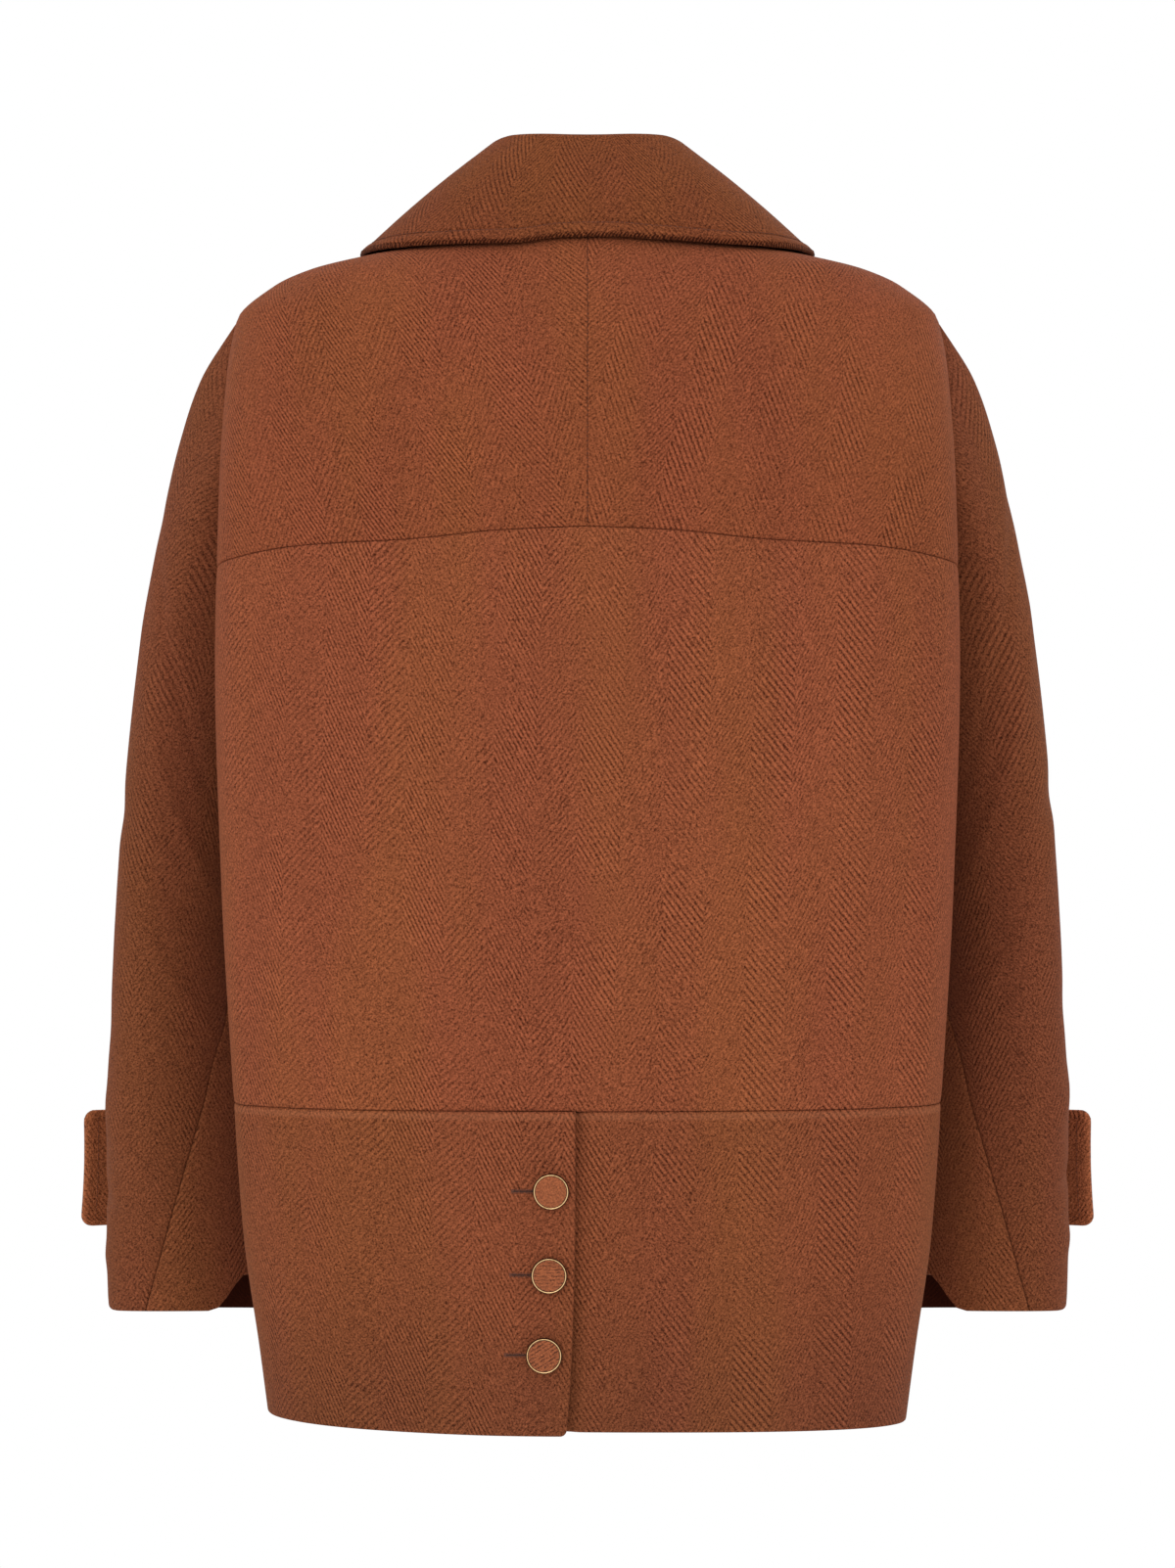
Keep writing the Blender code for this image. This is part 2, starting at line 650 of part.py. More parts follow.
def build_strap(side, material):
    """The cuff's strap: round the front of the cuff, its end standing out beside it."""
    drops = np.linspace(0.0, STRAP_HEIGHT, STRAP_ROWS + 1)
    grid = np.array([strap_line(STRAP_TOP_Z - drop) for drop in drops])
    mirror = np.array([side, 1.0, 1.0])
    half = grid_normals(grid) * STRAP_CLOTH / 2
    name = "cuff_strap_left" if side > 0 else "cuff_strap_right"
    return wall(name, (grid + half) * mirror, (grid - half) * mirror, material)


def strap_corner(drop):
    """How far a rounded corner draws the strap's end in, at a share of its height."""
    from_corner = min(drop, 1.0 - drop) * STRAP_HEIGHT
    short = max(0.0, STRAP_CORNER - from_corner)
    return STRAP_CORNER - math.sqrt(max(0.0, STRAP_CORNER**2 - short**2))


# ------------------------------------------------------------------- the collar


def collar_line(angle, side):
    """The collar's middle line at one angle: up the stand, over the roll, down the fall."""
    angle = np.array(angle)
    base = trunk_point(angle, neck_z(angle))
    base = base - trunk_normal(angle, neck_z(angle)) * LEVEL * (CLOTH / 2)
    roll = np.array([collar_at(f"roll_{axis}", angle) for axis in "xyz"])
    edge = np.array([collar_at(f"edge_{axis}", angle) for axis in "xyz"])
    out = unit((edge - roll) * LEVEL)
    centre = roll - UP * COLLAR_ROLL
    stand_top = centre - out * COLLAR_ROLL
    fall_top = centre + out * COLLAR_ROLL
    rise = unit(stand_top - base)
    fall = unit(edge - fall_top)
    roll_ends = math.pi - math.atan2(fall @ out, -fall[2])
    seat = COLLAR_SEAT + COLLAR_LAP_SEAT * smoothstep(angle, *COLLAR_OVER_LAP)
    base = base + UP * (SEAM_GAP + seat + math.hypot(rise[0], rise[1]) * COLLAR_CLOTH / 2)
    steps = np.arange(COLLAR_STAND_STEPS) / COLLAR_STAND_STEPS
    line = [blend(base, stand_top, s) for s in steps]
    for s in range(COLLAR_ROLL_STEPS + 1):
        turn = roll_ends * s / COLLAR_ROLL_STEPS
        line.append(centre + COLLAR_ROLL * (UP * math.sin(turn) - out * math.cos(turn)))
    fall_top = line[-1]
    fall = unit(edge - fall_top)
    bow = unit(UP - fall * fall[2]) * COLLAR_BOW
    for s in np.arange(1, COLLAR_FALL_STEPS + 1) / COLLAR_FALL_STEPS:
        point = blend(fall_top, edge, s) + bow * math.sin(math.pi * s)
        line.append(clear_of_trunk(point))
    return np.array(line) * np.array([side, 1.0, 1.0])


def clear_of_trunk(point):
    """The point, moved straight off the trunk where the collar would touch it."""
    for _ in range(CLEARING_TRIES):
        z = np.array(point[2])
        middle = trunk("widest_y", z)
        back = point[1] > middle
        depth = trunk("back_y", z) - middle if back else trunk("front_y", z) + middle
        across = point[0] / trunk("half_width", z)
        angle = np.degrees(np.arctan2(across, (point[1] - middle) / depth))
        out = trunk_normal(angle, z)
        wanted = COLLAR_CLEARANCE + COLLAR_CLOTH / 2
        wanted = wanted + LAP_OUT * smoothstep(angle, *COLLAR_OVER_LAP)
        short = wanted - (point - trunk_point(angle, z)) @ out
        point = point + out * max(0.0, short)
    return point


def build_collar(material):
    """The collar, with its stand, from one front end round the back to the other."""
    share = 1.0 - np.linspace(0.0, 1.0, COLLAR_STEPS + 1)
    angles = COLLAR_END * (1.0 - share**COLLAR_STEP_SPREAD)
    lines = [collar_line(a, -1.0) for a in angles[:0:-1]]
    lines += [collar_line(a, 1.0) for a in angles]
    grid = np.array(lines)
    half = grid_normals(grid) * COLLAR_CLOTH / 2
    return wall("collar", grid + half, grid - half, material)


# ------------------------------------------------------------------- the buttons


def turned(name, profile, material):
    """A turned piece from a profile of (radius, height), on its own z axis."""
    mesh = bpy.data.meshes.new(name)
    points = [(radius, 0.0, height) for radius, height in profile]
    mesh.from_pydata(points, [(i, i + 1) for i in range(len(points) - 1)], [])
    mesh.materials.append(material)
    piece = bpy.data.objects.new(name, mesh)
    parts.objects.link(piece)
    screw = piece.modifiers.new("turn", "SCREW")
    screw.steps = screw.render_steps = BUTTON_SIDES
    screw.use_merge_vertices = True
    screw.merge_threshold = 0.00005
    screw.use_smooth_shade = True
    return piece


def button(label, place, out, cloth, metal):
    """A rim that holds a domed cloth top, standing on the cloth at place."""
    radius = BUTTON_WIDTH / 2
    hollow = radius - BUTTON_RIM
    floor = BUTTON_HEIGHT - BUTTON_SINK
    rim = turned(
        f"{label}_rim",
        (
            (0.0, floor),
            (hollow, floor),
            (hollow, BUTTON_HEIGHT - BUTTON_LIP),
            (hollow + BUTTON_RIM / 2, BUTTON_HEIGHT),
            (radius, BUTTON_HEIGHT - BUTTON_EDGE),
            (radius, BUTTON_WAIST),
            (radius - BUTTON_TAPER, 0.0),
            (0.0, 0.0),
        ),
        metal,
    )
    top_radius = hollow - SEAM_GAP
    edge = BUTTON_HEIGHT - BUTTON_LIP
    turns = np.linspace(0.0, math.pi / 2, BUTTON_DOME_STEPS + 1)
    dome = [(top_radius * math.sin(t), edge + BUTTON_DOME * math.cos(t)) for t in turns]
    below = [(top_radius, floor + SEAM_GAP), (0.0, floor + SEAM_GAP)]
    top = turned(f"{label}_top", [*dome, *below], cloth)
    turn = Vector(out).to_track_quat("Z", "Y").to_matrix().to_4x4()
    stand = Matrix.Translation(Vector(place) + Vector(out) * BUTTON_SEAT) @ turn
    for piece in (rim, top):
        piece.matrix_world = stand


def build_buttons(cloth, metal):
    for number, (x, z) in enumerate(BACK_BUTTONS, 1):
        height = np.array(z)
        angle = angle_of_x(x, height)
        out = trunk_normal(angle, height)
        place = trunk_point(angle, height) + out * LAP_OUT
        button(f"back_button_{number}", place, out, cloth, metal)
    for number, z in enumerate(FRONT_BUTTONS_Z, 1):
        angle, height = np.array(CENTRE_FRONT), np.array(z)
        out = trunk_normal(angle, height)
        place = trunk_point(angle, height) + out * LAP_OUT
        button(f"front_button_{number}", place, out, cloth, metal)


# ---------------------------------------------------------------------- the coat


def finish(name, colour, roughness, metallic=0.0):
    material = bpy.data.materials.new(name)
    material.use_nodes = True
    shader = material.node_tree.nodes["Principled BSDF"]
    shader.inputs["Base Color"].default_value = (*colour, 1.0)
    shader.inputs["Roughness"].default_value = roughness
    shader.inputs["Metallic"].default_value = metallic
    return material


for leftover in list(bpy.data.objects):
    bpy.data.objects.remove(leftover)
parts = bpy.data.collections.new(OBJECT_NAME)
bpy.context.scene.collection.children.link(parts)

build_back_body(finish("back_body_wool", WOOL, 0.9))
for sign, word in ((1, "left"), (-1, "right")):
    build_yoke(sign, finish(f"yoke_{word}_wool", WOOL, 0.9))
    build_front(sign, finish(f"front_{word}_wool", WOOL, 0.9))
    build_band_front(sign, finish(f"band_front_{word}_wool", WOOL, 0.9))
    build_sleeve(sign)
    build_strap(sign, finish(f"strap_{word}_wool", WOOL_DARK, 0.9))
build_band_back_left(finish("band_back_left_wool", WOOL, 0.9))
build_band_back_right(finish("band_back_right_wool", WOOL, 0.9))
build_collar(finish("collar_wool", WOOL_DARK, 0.9))
covering = finish("button_cloth", BUTTON_CLOTH, 0.85)
build_buttons(covering, finish("button_rim", PALE_GOLD, 0.3, 1.0))
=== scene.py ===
# %% [markdown]
# # A short wool coat, seen from behind
# The coat is filled out as if somebody wore it, with nobody inside. Its solids come
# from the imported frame. Here each cloth piece gets a finer shell on the same form,
# with rounded seams and folded edges, and a herringbone wool finish.
# Lengths are in metres. +Z is up, the coat faces -Y and the wearer's left is +X.

# %% Load the frame
import json
import math

import bpy
import numpy as np
from mathutils import Matrix, Vector

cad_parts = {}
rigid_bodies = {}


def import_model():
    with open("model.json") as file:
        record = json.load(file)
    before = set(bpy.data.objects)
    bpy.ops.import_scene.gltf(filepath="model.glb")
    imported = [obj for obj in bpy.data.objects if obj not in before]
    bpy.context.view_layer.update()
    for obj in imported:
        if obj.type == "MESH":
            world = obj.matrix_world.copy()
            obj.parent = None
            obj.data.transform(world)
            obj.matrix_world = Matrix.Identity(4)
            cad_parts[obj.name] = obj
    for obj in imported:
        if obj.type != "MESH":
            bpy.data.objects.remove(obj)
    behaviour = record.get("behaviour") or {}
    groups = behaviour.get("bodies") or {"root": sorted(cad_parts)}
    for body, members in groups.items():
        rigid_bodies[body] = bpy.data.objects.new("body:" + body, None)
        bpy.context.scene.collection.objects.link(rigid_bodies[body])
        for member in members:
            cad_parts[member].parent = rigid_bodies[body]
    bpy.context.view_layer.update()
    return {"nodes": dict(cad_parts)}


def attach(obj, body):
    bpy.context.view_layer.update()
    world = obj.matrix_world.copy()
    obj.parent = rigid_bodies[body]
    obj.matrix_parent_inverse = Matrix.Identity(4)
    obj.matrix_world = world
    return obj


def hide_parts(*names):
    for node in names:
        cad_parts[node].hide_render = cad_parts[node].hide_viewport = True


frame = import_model()
print("pieces in the frame:", len(frame["nodes"]))

# %% [markdown]
# ## The coat's sizes
# A maker works from sizes: how wide and deep the body is at each height, where the
# seams run and how the sleeve narrows. They could be read off the solids, but short
# tables with smooth curves through them say more and bend more softly.

# %% Sizes of the body
CLOTH = 0.0026
THICK_CLOTH = 0.0034

BODY = (
    # z, half_width, widest_y, back_y, front_y
    (0.0120, 0.0700, 0.000, 0.060, 0.066),
    (0.0000, 0.1000, 0.000, 0.080, 0.070),
    (-0.0080, 0.1430, 0.000, 0.088, 0.073),
    (-0.0150, 0.1716, 0.000, 0.094, 0.075),
    (-0.0246, 0.1926, 0.000, 0.101, 0.079),
    (-0.0450, 0.2145, 0.002, 0.112, 0.086),
    (-0.0800, 0.2195, 0.018, 0.123, 0.097),
    (-0.1500, 0.2222, 0.045, 0.134, 0.113),
    (-0.2550, 0.2246, 0.045, 0.138, 0.126),
    (-0.3900, 0.2207, 0.045, 0.137, 0.130),
    (-0.5100, 0.2140, 0.042, 0.135, 0.130),
    (-0.6000, 0.2078, 0.038, 0.133, 0.128),
    (-0.6700, 0.1983, 0.032, 0.131, 0.126),
    (-0.7150, 0.1925, 0.030, 0.130, 0.125),
)
BODY_COLUMNS = "z half_width widest_y back_y front_y".split()
SQUARENESS = ((0.0, 2.4), (72.0, 2.4), (112.0, 1.7), (140.0, 1.7), (168.0, 2.0), (180.0, 2.0))
YOKE_SEAM = (
    # angle, z
    (0.0, -0.1764),
    (13.0, -0.1786),
    (27.0, -0.1838),
    (46.0, -0.1868),
    (66.0, -0.1929),
    (90.0, -0.1976),
    (98.0, -0.1988),
)
NECKLINE = (
    # angle, z
    (0.0, 0.0100),
    (90.0, 0.0100),
    (112.0, 0.0060),
    (133.0, -0.0010),
    (150.0, -0.0080),
    (158.0, -0.0140),
    (167.0, -0.0300),
    (174.0, -0.0480),
    (180.0, -0.0600),
)
NECK_Z, SHOULDER_Z, UNDERARM_Z, BAND_Z = 0.0100, -0.045, -0.280, -0.5195
LEFT_HEM = {"side": -0.7065, "centre": -0.7102}
RIGHT_HEM = {"side": -0.7120, "centre": -0.7080}
SIDE_SEAM, RIDGE, CENTRE_FRONT = 108.0, 90.0, 180.0
ARMHOLE_EASE = {"back": 2.0, "front": 29.0}
LAP_EDGE_X, LAP_EDGE_SWING, LAP_UNDER_X = 0.0070, 0.0050, 0.0480
LAP_OUT, LAP_IN, FRONT_LAP = 0.0019, 0.0017, 7.0
print("body from", BODY[0][0], "to", BODY[-1][0], "m")


# %% Smooth curves through the tables
def curve_through(keys, values, at):
    """A smooth curve through a table's rows that never overshoots them."""
    at = np.clip(np.asarray(at, float), keys[0], keys[-1])
    step = np.diff(keys)
    slope = np.diff(values) / step
    same = slope[:-1] * slope[1:] > 0
    safe = np.where(same, slope[:-1] + slope[1:], 1.0)
    turn = np.zeros(len(keys))
    turn[1:-1] = np.where(same, 2.0 * slope[:-1] * slope[1:] / safe, 0.0)
    turn[0], turn[-1] = slope[0], slope[-1]
    i = np.clip(np.searchsorted(keys, at, side="right") - 1, 0, len(step) - 1)
    t = (at - keys[i]) / step[i]
    ends = (1 + 2 * t) * (1 - t) ** 2 * values[i] + t * t * (3 - 2 * t) * values[i + 1]
    return ends + t * (1 - t) * step[i] * ((1 - t) * turn[i] - t * turn[i + 1])


def read(table, columns, name, at):
    """One named column of a table at any height or angle."""
    data = np.array(sorted(table), float)
    return curve_through(data[:, 0], data[:, columns.index(name)], at)


def body_size(name, z):
    """One of the body's sizes at any height."""
    return read(BODY, BODY_COLUMNS, name, z)


def follow(pairs, at):
    """The curve of a table with two columns."""
    return curve_through(*np.array(pairs, float).T, at)


def blend(a, b, share):
    return a + (b - a) * share


def within(value, start, end):
    """How far a value has come from start to end, from 0 to 1."""
    return np.clip((value - start) / (end - start), 0.0, 1.0)


def smoothstep(value, start, end):
    t = within(value, start, end)
    return t * t * (3 - 2 * t)


def hill(distance, width):
    """1 at no distance, and soon 0 beyond that width."""
    return np.exp(-((distance / width) ** 2))


def unit(vectors):
    return vectors / np.maximum(np.linalg.norm(vectors, axis=-1, keepdims=True), 1e-12)


print("half the width at the band seam:", body_size("half_width", BAND_Z).round(3))

# %% [markdown]
# ## The body as one surface
# Yokes, back, fronts and bands are all cut from one rounded form. A place on it is an
# angle round the body, 0 at the centre back and 180 at the centre front, and a
# height. Modelling each panel by eye would leave gaps, so every panel is a patch of it.


# %% Points of the body
NEAR_ANGLE, NEAR_Z = 0.2, 0.0004
ARMHOLE_STEPS = 10.0


def round_body(angle):
    """The angle from the centre back, whichever way round it was measured."""
    return CENTRE_FRONT - np.abs(np.abs(angle) - CENTRE_FRONT)


def body_depths(z):
    """(y of the widest line, depth behind it, depth before it) at each height."""
    middle = body_size("widest_y", z)
    return middle, body_size("back_y", z) - middle, body_size("front_y", z) + middle


def body_point(angle, z):
    """The cloth's outer face at each angle and height."""
    turn = np.radians(angle)
    side, back = np.sin(turn), np.cos(turn)
    power = follow(SQUARENESS, round_body(angle))
    reach = (np.abs(side) ** power + np.abs(back) ** power) ** (-1.0 / power)
    middle, behind, before = body_depths(z)
    depth = np.where(back > 0, behind, before)
    x = body_size("half_width", z) * side * reach
    return np.stack([x, middle + depth * back * reach, np.broadcast_to(z, x.shape)], -1)


def body_normal(angle, z):
    """Square to the body, pointing out."""
    turned = body_point(angle + NEAR_ANGLE, z) - body_point(angle - NEAR_ANGLE, z)
    raised = body_point(angle, z + NEAR_Z) - body_point(angle, z - NEAR_Z)
    return unit(np.cross(raised, turned))


def armhole(step):
    """(z, back angle, front angle) of the armhole: step 0 is its top and 10 its foot."""
    turn = math.pi * np.asarray(step, float) / ARMHOLE_STEPS
    fallen = 0.5 - 0.5 * np.cos(turn)
    z = blend(SHOULDER_Z, UNDERARM_Z, fallen)
    centre = blend(RIDGE, SIDE_SEAM, fallen)
    back = centre - ARMHOLE_EASE["back"] * np.sin(turn)
    return z, back, centre + ARMHOLE_EASE["front"] * np.sin(turn)


def shoulder_z(share):
    """Heights up the shoulder seam, even across the shoulder."""
    fine = np.linspace(NECK_Z, SHOULDER_Z, 400)
    half_width = body_size("half_width", fine)
    return np.interp(blend(half_width[-1], half_width[0], share), half_width, fine)


def angle_of_x(x, z):
    return np.degrees(np.arcsin(x / body_size("half_width", z)))


print("widest at", body_point(np.array(90.0), np.array(-0.255)).round(3))

# %% [markdown]
# ## Where the cloth's threads lie
# Herringbone runs in columns a thumb wide. On real cloth they keep their width, so
# the finish needs to know how far each point lies along the cloth, not just in space.
# Distances are added up over the body, round it and down it, and kept as a map.


# %% Distances over the body's cloth
def distances(surface, turns, heights):
    """(round, down) over a surface, at each of its turns and heights."""
    points = surface(turns[None, :] + 0.0 * heights[:, None], heights[:, None] + 0.0 * turns)
    across = np.linalg.norm(np.diff(points, axis=1), axis=-1)
    down = np.linalg.norm(np.diff(points, axis=0), axis=-1)
    round_it = np.pad(np.cumsum(across, axis=1), ((0, 0), (1, 0)))
    return round_it, np.pad(np.cumsum(down, axis=0), ((1, 0), (0, 0)))


MAP_ANGLE = np.linspace(0.0, 190.0, 381)
MAP_Z = np.linspace(BODY[0][0], BODY[-1][0], 364)
THREADS_FROM, SLEEVE_THREADS_FROM = 0.3, 0.4
MAP_ROUND, MAP_DOWN = distances(body_point, MAP_ANGLE, MAP_Z)


def look_up(table, turns, heights, turn, z):
    """A value of a map between its rows and columns."""
    c = np.clip((turn - turns[0]) / (turns[1] - turns[0]), 0, len(turns) - 1.001)
    r = np.clip((z - heights[0]) / (heights[1] - heights[0]), 0, len(heights) - 1.001)
    ci, ri = c.astype(int), r.astype(int)
    c, r = c - ci, r - ri
    top = blend(table[ri, ci], table[ri, ci + 1], c)
    return blend(top, blend(table[ri + 1, ci], table[ri + 1, ci + 1], c), r)


def turned_threads(across, up, lean, shift=(0.0, 0.0)):
    """The cloth's own directions where its grain leans by that many degrees."""
    turn = math.radians(lean)
    u = across * math.cos(turn) - up * math.sin(turn) + shift[0]
    return np.stack([u, across * math.sin(turn) + up * math.cos(turn) + shift[1]], -1)


def threads(angle, z, from_front=False, lean=0.0, shift=(0.0, 0.0)):
    """(across, up) over the cloth, from the centre back or the centre front."""
    place = np.abs(angle), z
    across = look_up(MAP_ROUND, MAP_ANGLE, MAP_Z, *place)
    if from_front:
        front = np.full_like(angle, CENTRE_FRONT)
        across = look_up(MAP_ROUND, MAP_ANGLE, MAP_Z, front, z) - across
    up = THREADS_FROM - look_up(MAP_DOWN, MAP_ANGLE, MAP_Z, *place)
    return turned_threads(across * np.sign(angle), up, lean, shift)


print("half round the body:", round(float(MAP_ROUND[150, 360]), 3), "m")

# %% [markdown]
# ## A shell of cloth
# Real cloth is a thin wall. At a seam its edge rolls in, and at a hem it is folded
# over. A flat plane would show paper edges, and a Solidify modifier gives square ones.
# So each shell is lofted from its own points, with rows set close at its edges to
# round them.


# %% Rows, columns and rounded edges
FINE, PLAIN = 0.0032, 0.0046
CLOSE_ROWS = np.array([0.0, 0.0003, 0.0007, 0.0012, 0.0019, 0.0030])
SEAM_DEPTHS = {"seam": (0.0013, 0.0005), "flat_seam": (0.0006, 0.0002)}
SEAM_SPREAD, PUCKER, EDGE_ROUND = 0.004, 0.35, 0.49


def shares(length, step=FINE):
    """Places along an edge of that length, from 0 to 1, set close at both ends."""
    inner = np.linspace(CLOSE_ROWS[-1], length - CLOSE_ROWS[-1], max(3, int(length / step)))
    return np.concatenate([CLOSE_ROWS[:-1], inner, length - CLOSE_ROWS[-2::-1]]) / length


def patch(long, wide, step=FINE):
    """Shares down and across a patch of about that size, as a column and a row."""
    return shares(long, step)[:, None], shares(wide, step)[None, :]


def edged(kind, **others):
    """The kind of every edge of a patch, and of the edges that differ."""
    return dict.fromkeys(("first_row", "last_row", "first_column", "last_column"), kind) | others


def rolled(distance, radius):
    """How far a rounded edge has dropped, at a distance from the edge."""
    short = np.clip(radius - distance, 0.0, radius)
    return radius - np.sqrt(radius**2 - short**2)


def uneven(points):
    """A slow wobble between -1 and 1, for seams that are pulled here and there.

    Its waves are given in radians a metre.
    """
    x, y, z = points[..., 0], points[..., 1], points[..., 2]
    first = np.sin(610.0 * x + 240.0 * z + 3.0 * np.sin(90.0 * z))
    return 0.6 * first + 0.4 * np.sin(480.0 * z - 330.0 * y + 1.7)


def edge_distances(points):
    """Distances to the first and last row and the first and last column."""
    down = np.linalg.norm(np.diff(points, axis=0), axis=-1)
    along = np.linalg.norm(np.diff(points, axis=1), axis=-1)
    top = np.pad(np.cumsum(down, axis=0), ((1, 0), (0, 0)))
    left = np.pad(np.cumsum(along, axis=1), ((0, 0), (1, 0)))
    return {
        "first_row": top,
        "last_row": top[-1:] - top,
        "first_column": left,
        "last_column": left[:, -1:] - left,
    }


def edge_shapes(points, apart, edges, thick):
    """How far the outer face has dropped and the inner face risen near the edges."""
    radius = EDGE_ROUND * thick
    outer_drop, inner_rise = np.zeros(points.shape[:2]), np.zeros(points.shape[:2])
    for edge, kind in edges.items():
        if kind == "fold":
            outer_drop = np.maximum(outer_drop, rolled(apart[edge], radius))
            inner_rise = np.maximum(inner_rise, rolled(apart[edge], radius))
        if kind in SEAM_DEPTHS:
            seam_radius, dip = SEAM_DEPTHS[kind]
            pulled = dip * (1.0 + PUCKER * uneven(points)) * np.exp(-apart[edge] / SEAM_SPREAD)
            outer_drop = np.maximum(outer_drop, rolled(apart[edge], seam_radius) + pulled)
    return outer_drop, inner_rise


print("rows start", CLOSE_ROWS[1] * 1000, "mm apart and settle at", FINE * 1000, "mm")


# %% Faces of a grid
def grid_faces(rows, columns, start, turned):
    """Quads of a grid of points, numbered from start."""
    at = start + np.arange(rows * columns).reshape(rows, columns)
    quads = np.stack([at[:-1, :-1], at[:-1, 1:], at[1:, 1:], at[1:, :-1]], -1)
    quads = quads.reshape(-1, 4)
    return quads[:, ::-1] if turned else quads


def rim_faces(rows, columns, turned):
    """Quads that close the edge between the outer and the inner grid."""
    at = np.arange(rows * columns).reshape(rows, columns)
    loop = np.concatenate([at[0, :-1], at[:-1, -1], at[-1, :0:-1], at[:0:-1, 0]])
    following = np.roll(loop, -1)
    size = rows * columns
    quads = np.stack([loop, loop + size, following + size, following], -1)
    return quads[:, ::-1] if turned else quads


def facing(points, normals):
    """True if quads in grid order would face against the normals."""
    across = points[:-1, 1:] - points[:-1, :-1]
    down = points[1:, :-1] - points[:-1, :-1]
    return bool((np.cross(across, down) * normals[:-1, :-1]).sum() < 0)


def area_of(points):
    """The area of a grid of points."""
    a = np.cross(points[1:, :-1] - points[:-1, :-1], points[:-1, 1:] - points[:-1, :-1])
    b = np.cross(points[1:, :-1] - points[1:, 1:], points[:-1, 1:] - points[1:, 1:])
    return float((np.linalg.norm(a, axis=-1) + np.linalg.norm(b, axis=-1)).sum() / 2)


print("a rim round 3 by 4 points has", len(rim_faces(3, 4, False)), "faces")

# %% From points to an object
COLLECTION = bpy.data.collections.new("short_wool_coat_cloth")
bpy.context.scene.collection.children.link(COLLECTION)


def to_object(name, points, faces, materials, uv=None, sharp_from=50.0):
    """A smooth mesh object with an optional map of the cloth's threads."""
    mesh = bpy.data.meshes.new(name)
    mesh.from_pydata(points.tolist(), [], faces)
    if uv is not None:
        layer = mesh.uv_layers.new(name="cloth")
        corners = np.empty(len(mesh.loops), dtype=np.int32)
        mesh.loops.foreach_get("vertex_index", corners)
        layer.data.foreach_set("uv", uv[corners].astype(np.float32).ravel())
    for material in materials:
        mesh.materials.append(material)
    mesh.shade_smooth()
    mesh.set_sharp_from_angle(angle=math.radians(sharp_from))
    mesh.validate()
    piece = bpy.data.objects.new(name, mesh)
    COLLECTION.objects.link(piece)
    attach(piece, "root")
    return piece


def shell(node, points, normals, uv, edges, wool, slot, held, rests_on, **wall):
    """A wall of cloth between an outer grid of points and its inner twin.

    wool is the finish of its face and of its reverse. wall may give its thickness as
    thick, and as inward the directions to its inner twin.
    """
    normals = np.broadcast_to(normals, points.shape)
    thick, inward = wall.get("thick", CLOTH), wall.get("inward", -normals)
    rows, columns = points.shape[:2]
    apart = edge_distances(points)
    outer_drop, inner_rise = edge_shapes(points, apart, edges, thick)
    outer = points - normals * outer_drop[..., None]
    inner = points + inward * (thick - inner_rise)[..., None]
    turned = facing(outer, normals)
    face = grid_faces(rows, columns, 0, turned)
    reverse = grid_faces(rows, columns, rows * columns, not turned)
    faces = np.concatenate([face, reverse, rim_faces(rows, columns, turned)])
    every = np.concatenate([outer.reshape(-1, 3), inner.reshape(-1, 3)])
    both = np.concatenate([uv.reshape(-1, 2)] * 2)
    piece = to_object(f"{node}_cloth", every, faces.tolist(), wool, both)
    material_index = np.zeros(len(faces), dtype=np.int32)
    material_index[len(face) : len(face) + len(reverse)] = 1
    piece.data.polygons.foreach_set("material_index", material_index)
    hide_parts(node)
    area = area_of(points)


# %% [markdown]
# ## Shader sums in plain arithmetic
# Blender's shader maths is a node for every plus sign. A small class that wraps a
# socket lets a finish be written as a sum, and the nodes follow from it.


# %% A value in a shader
class Value:
    """A socket's number, for use in sums."""

    def __init__(self, finish, socket):
        self.finish, self.socket = finish, socket

    def math(self, operation, *others):
        numbers = dict(enumerate((self, *others)))
        return self.finish.node("ShaderNodeMath", {"operation": operation}, numbers)

    def __add__(self, other):
        return self.math("ADD", other)

    def __sub__(self, other):
        return self.math("SUBTRACT", other)

    def __mul__(self, other):
        return self.math("MULTIPLY", other)

    def __truediv__(self, other):
        return self.math("DIVIDE", other)

    def __pow__(self, other):
        return self.math("POWER", other)

    def __rsub__(self, other):
        return self * -1.0 + other

    __radd__ = __add__
    __rmul__ = __mul__


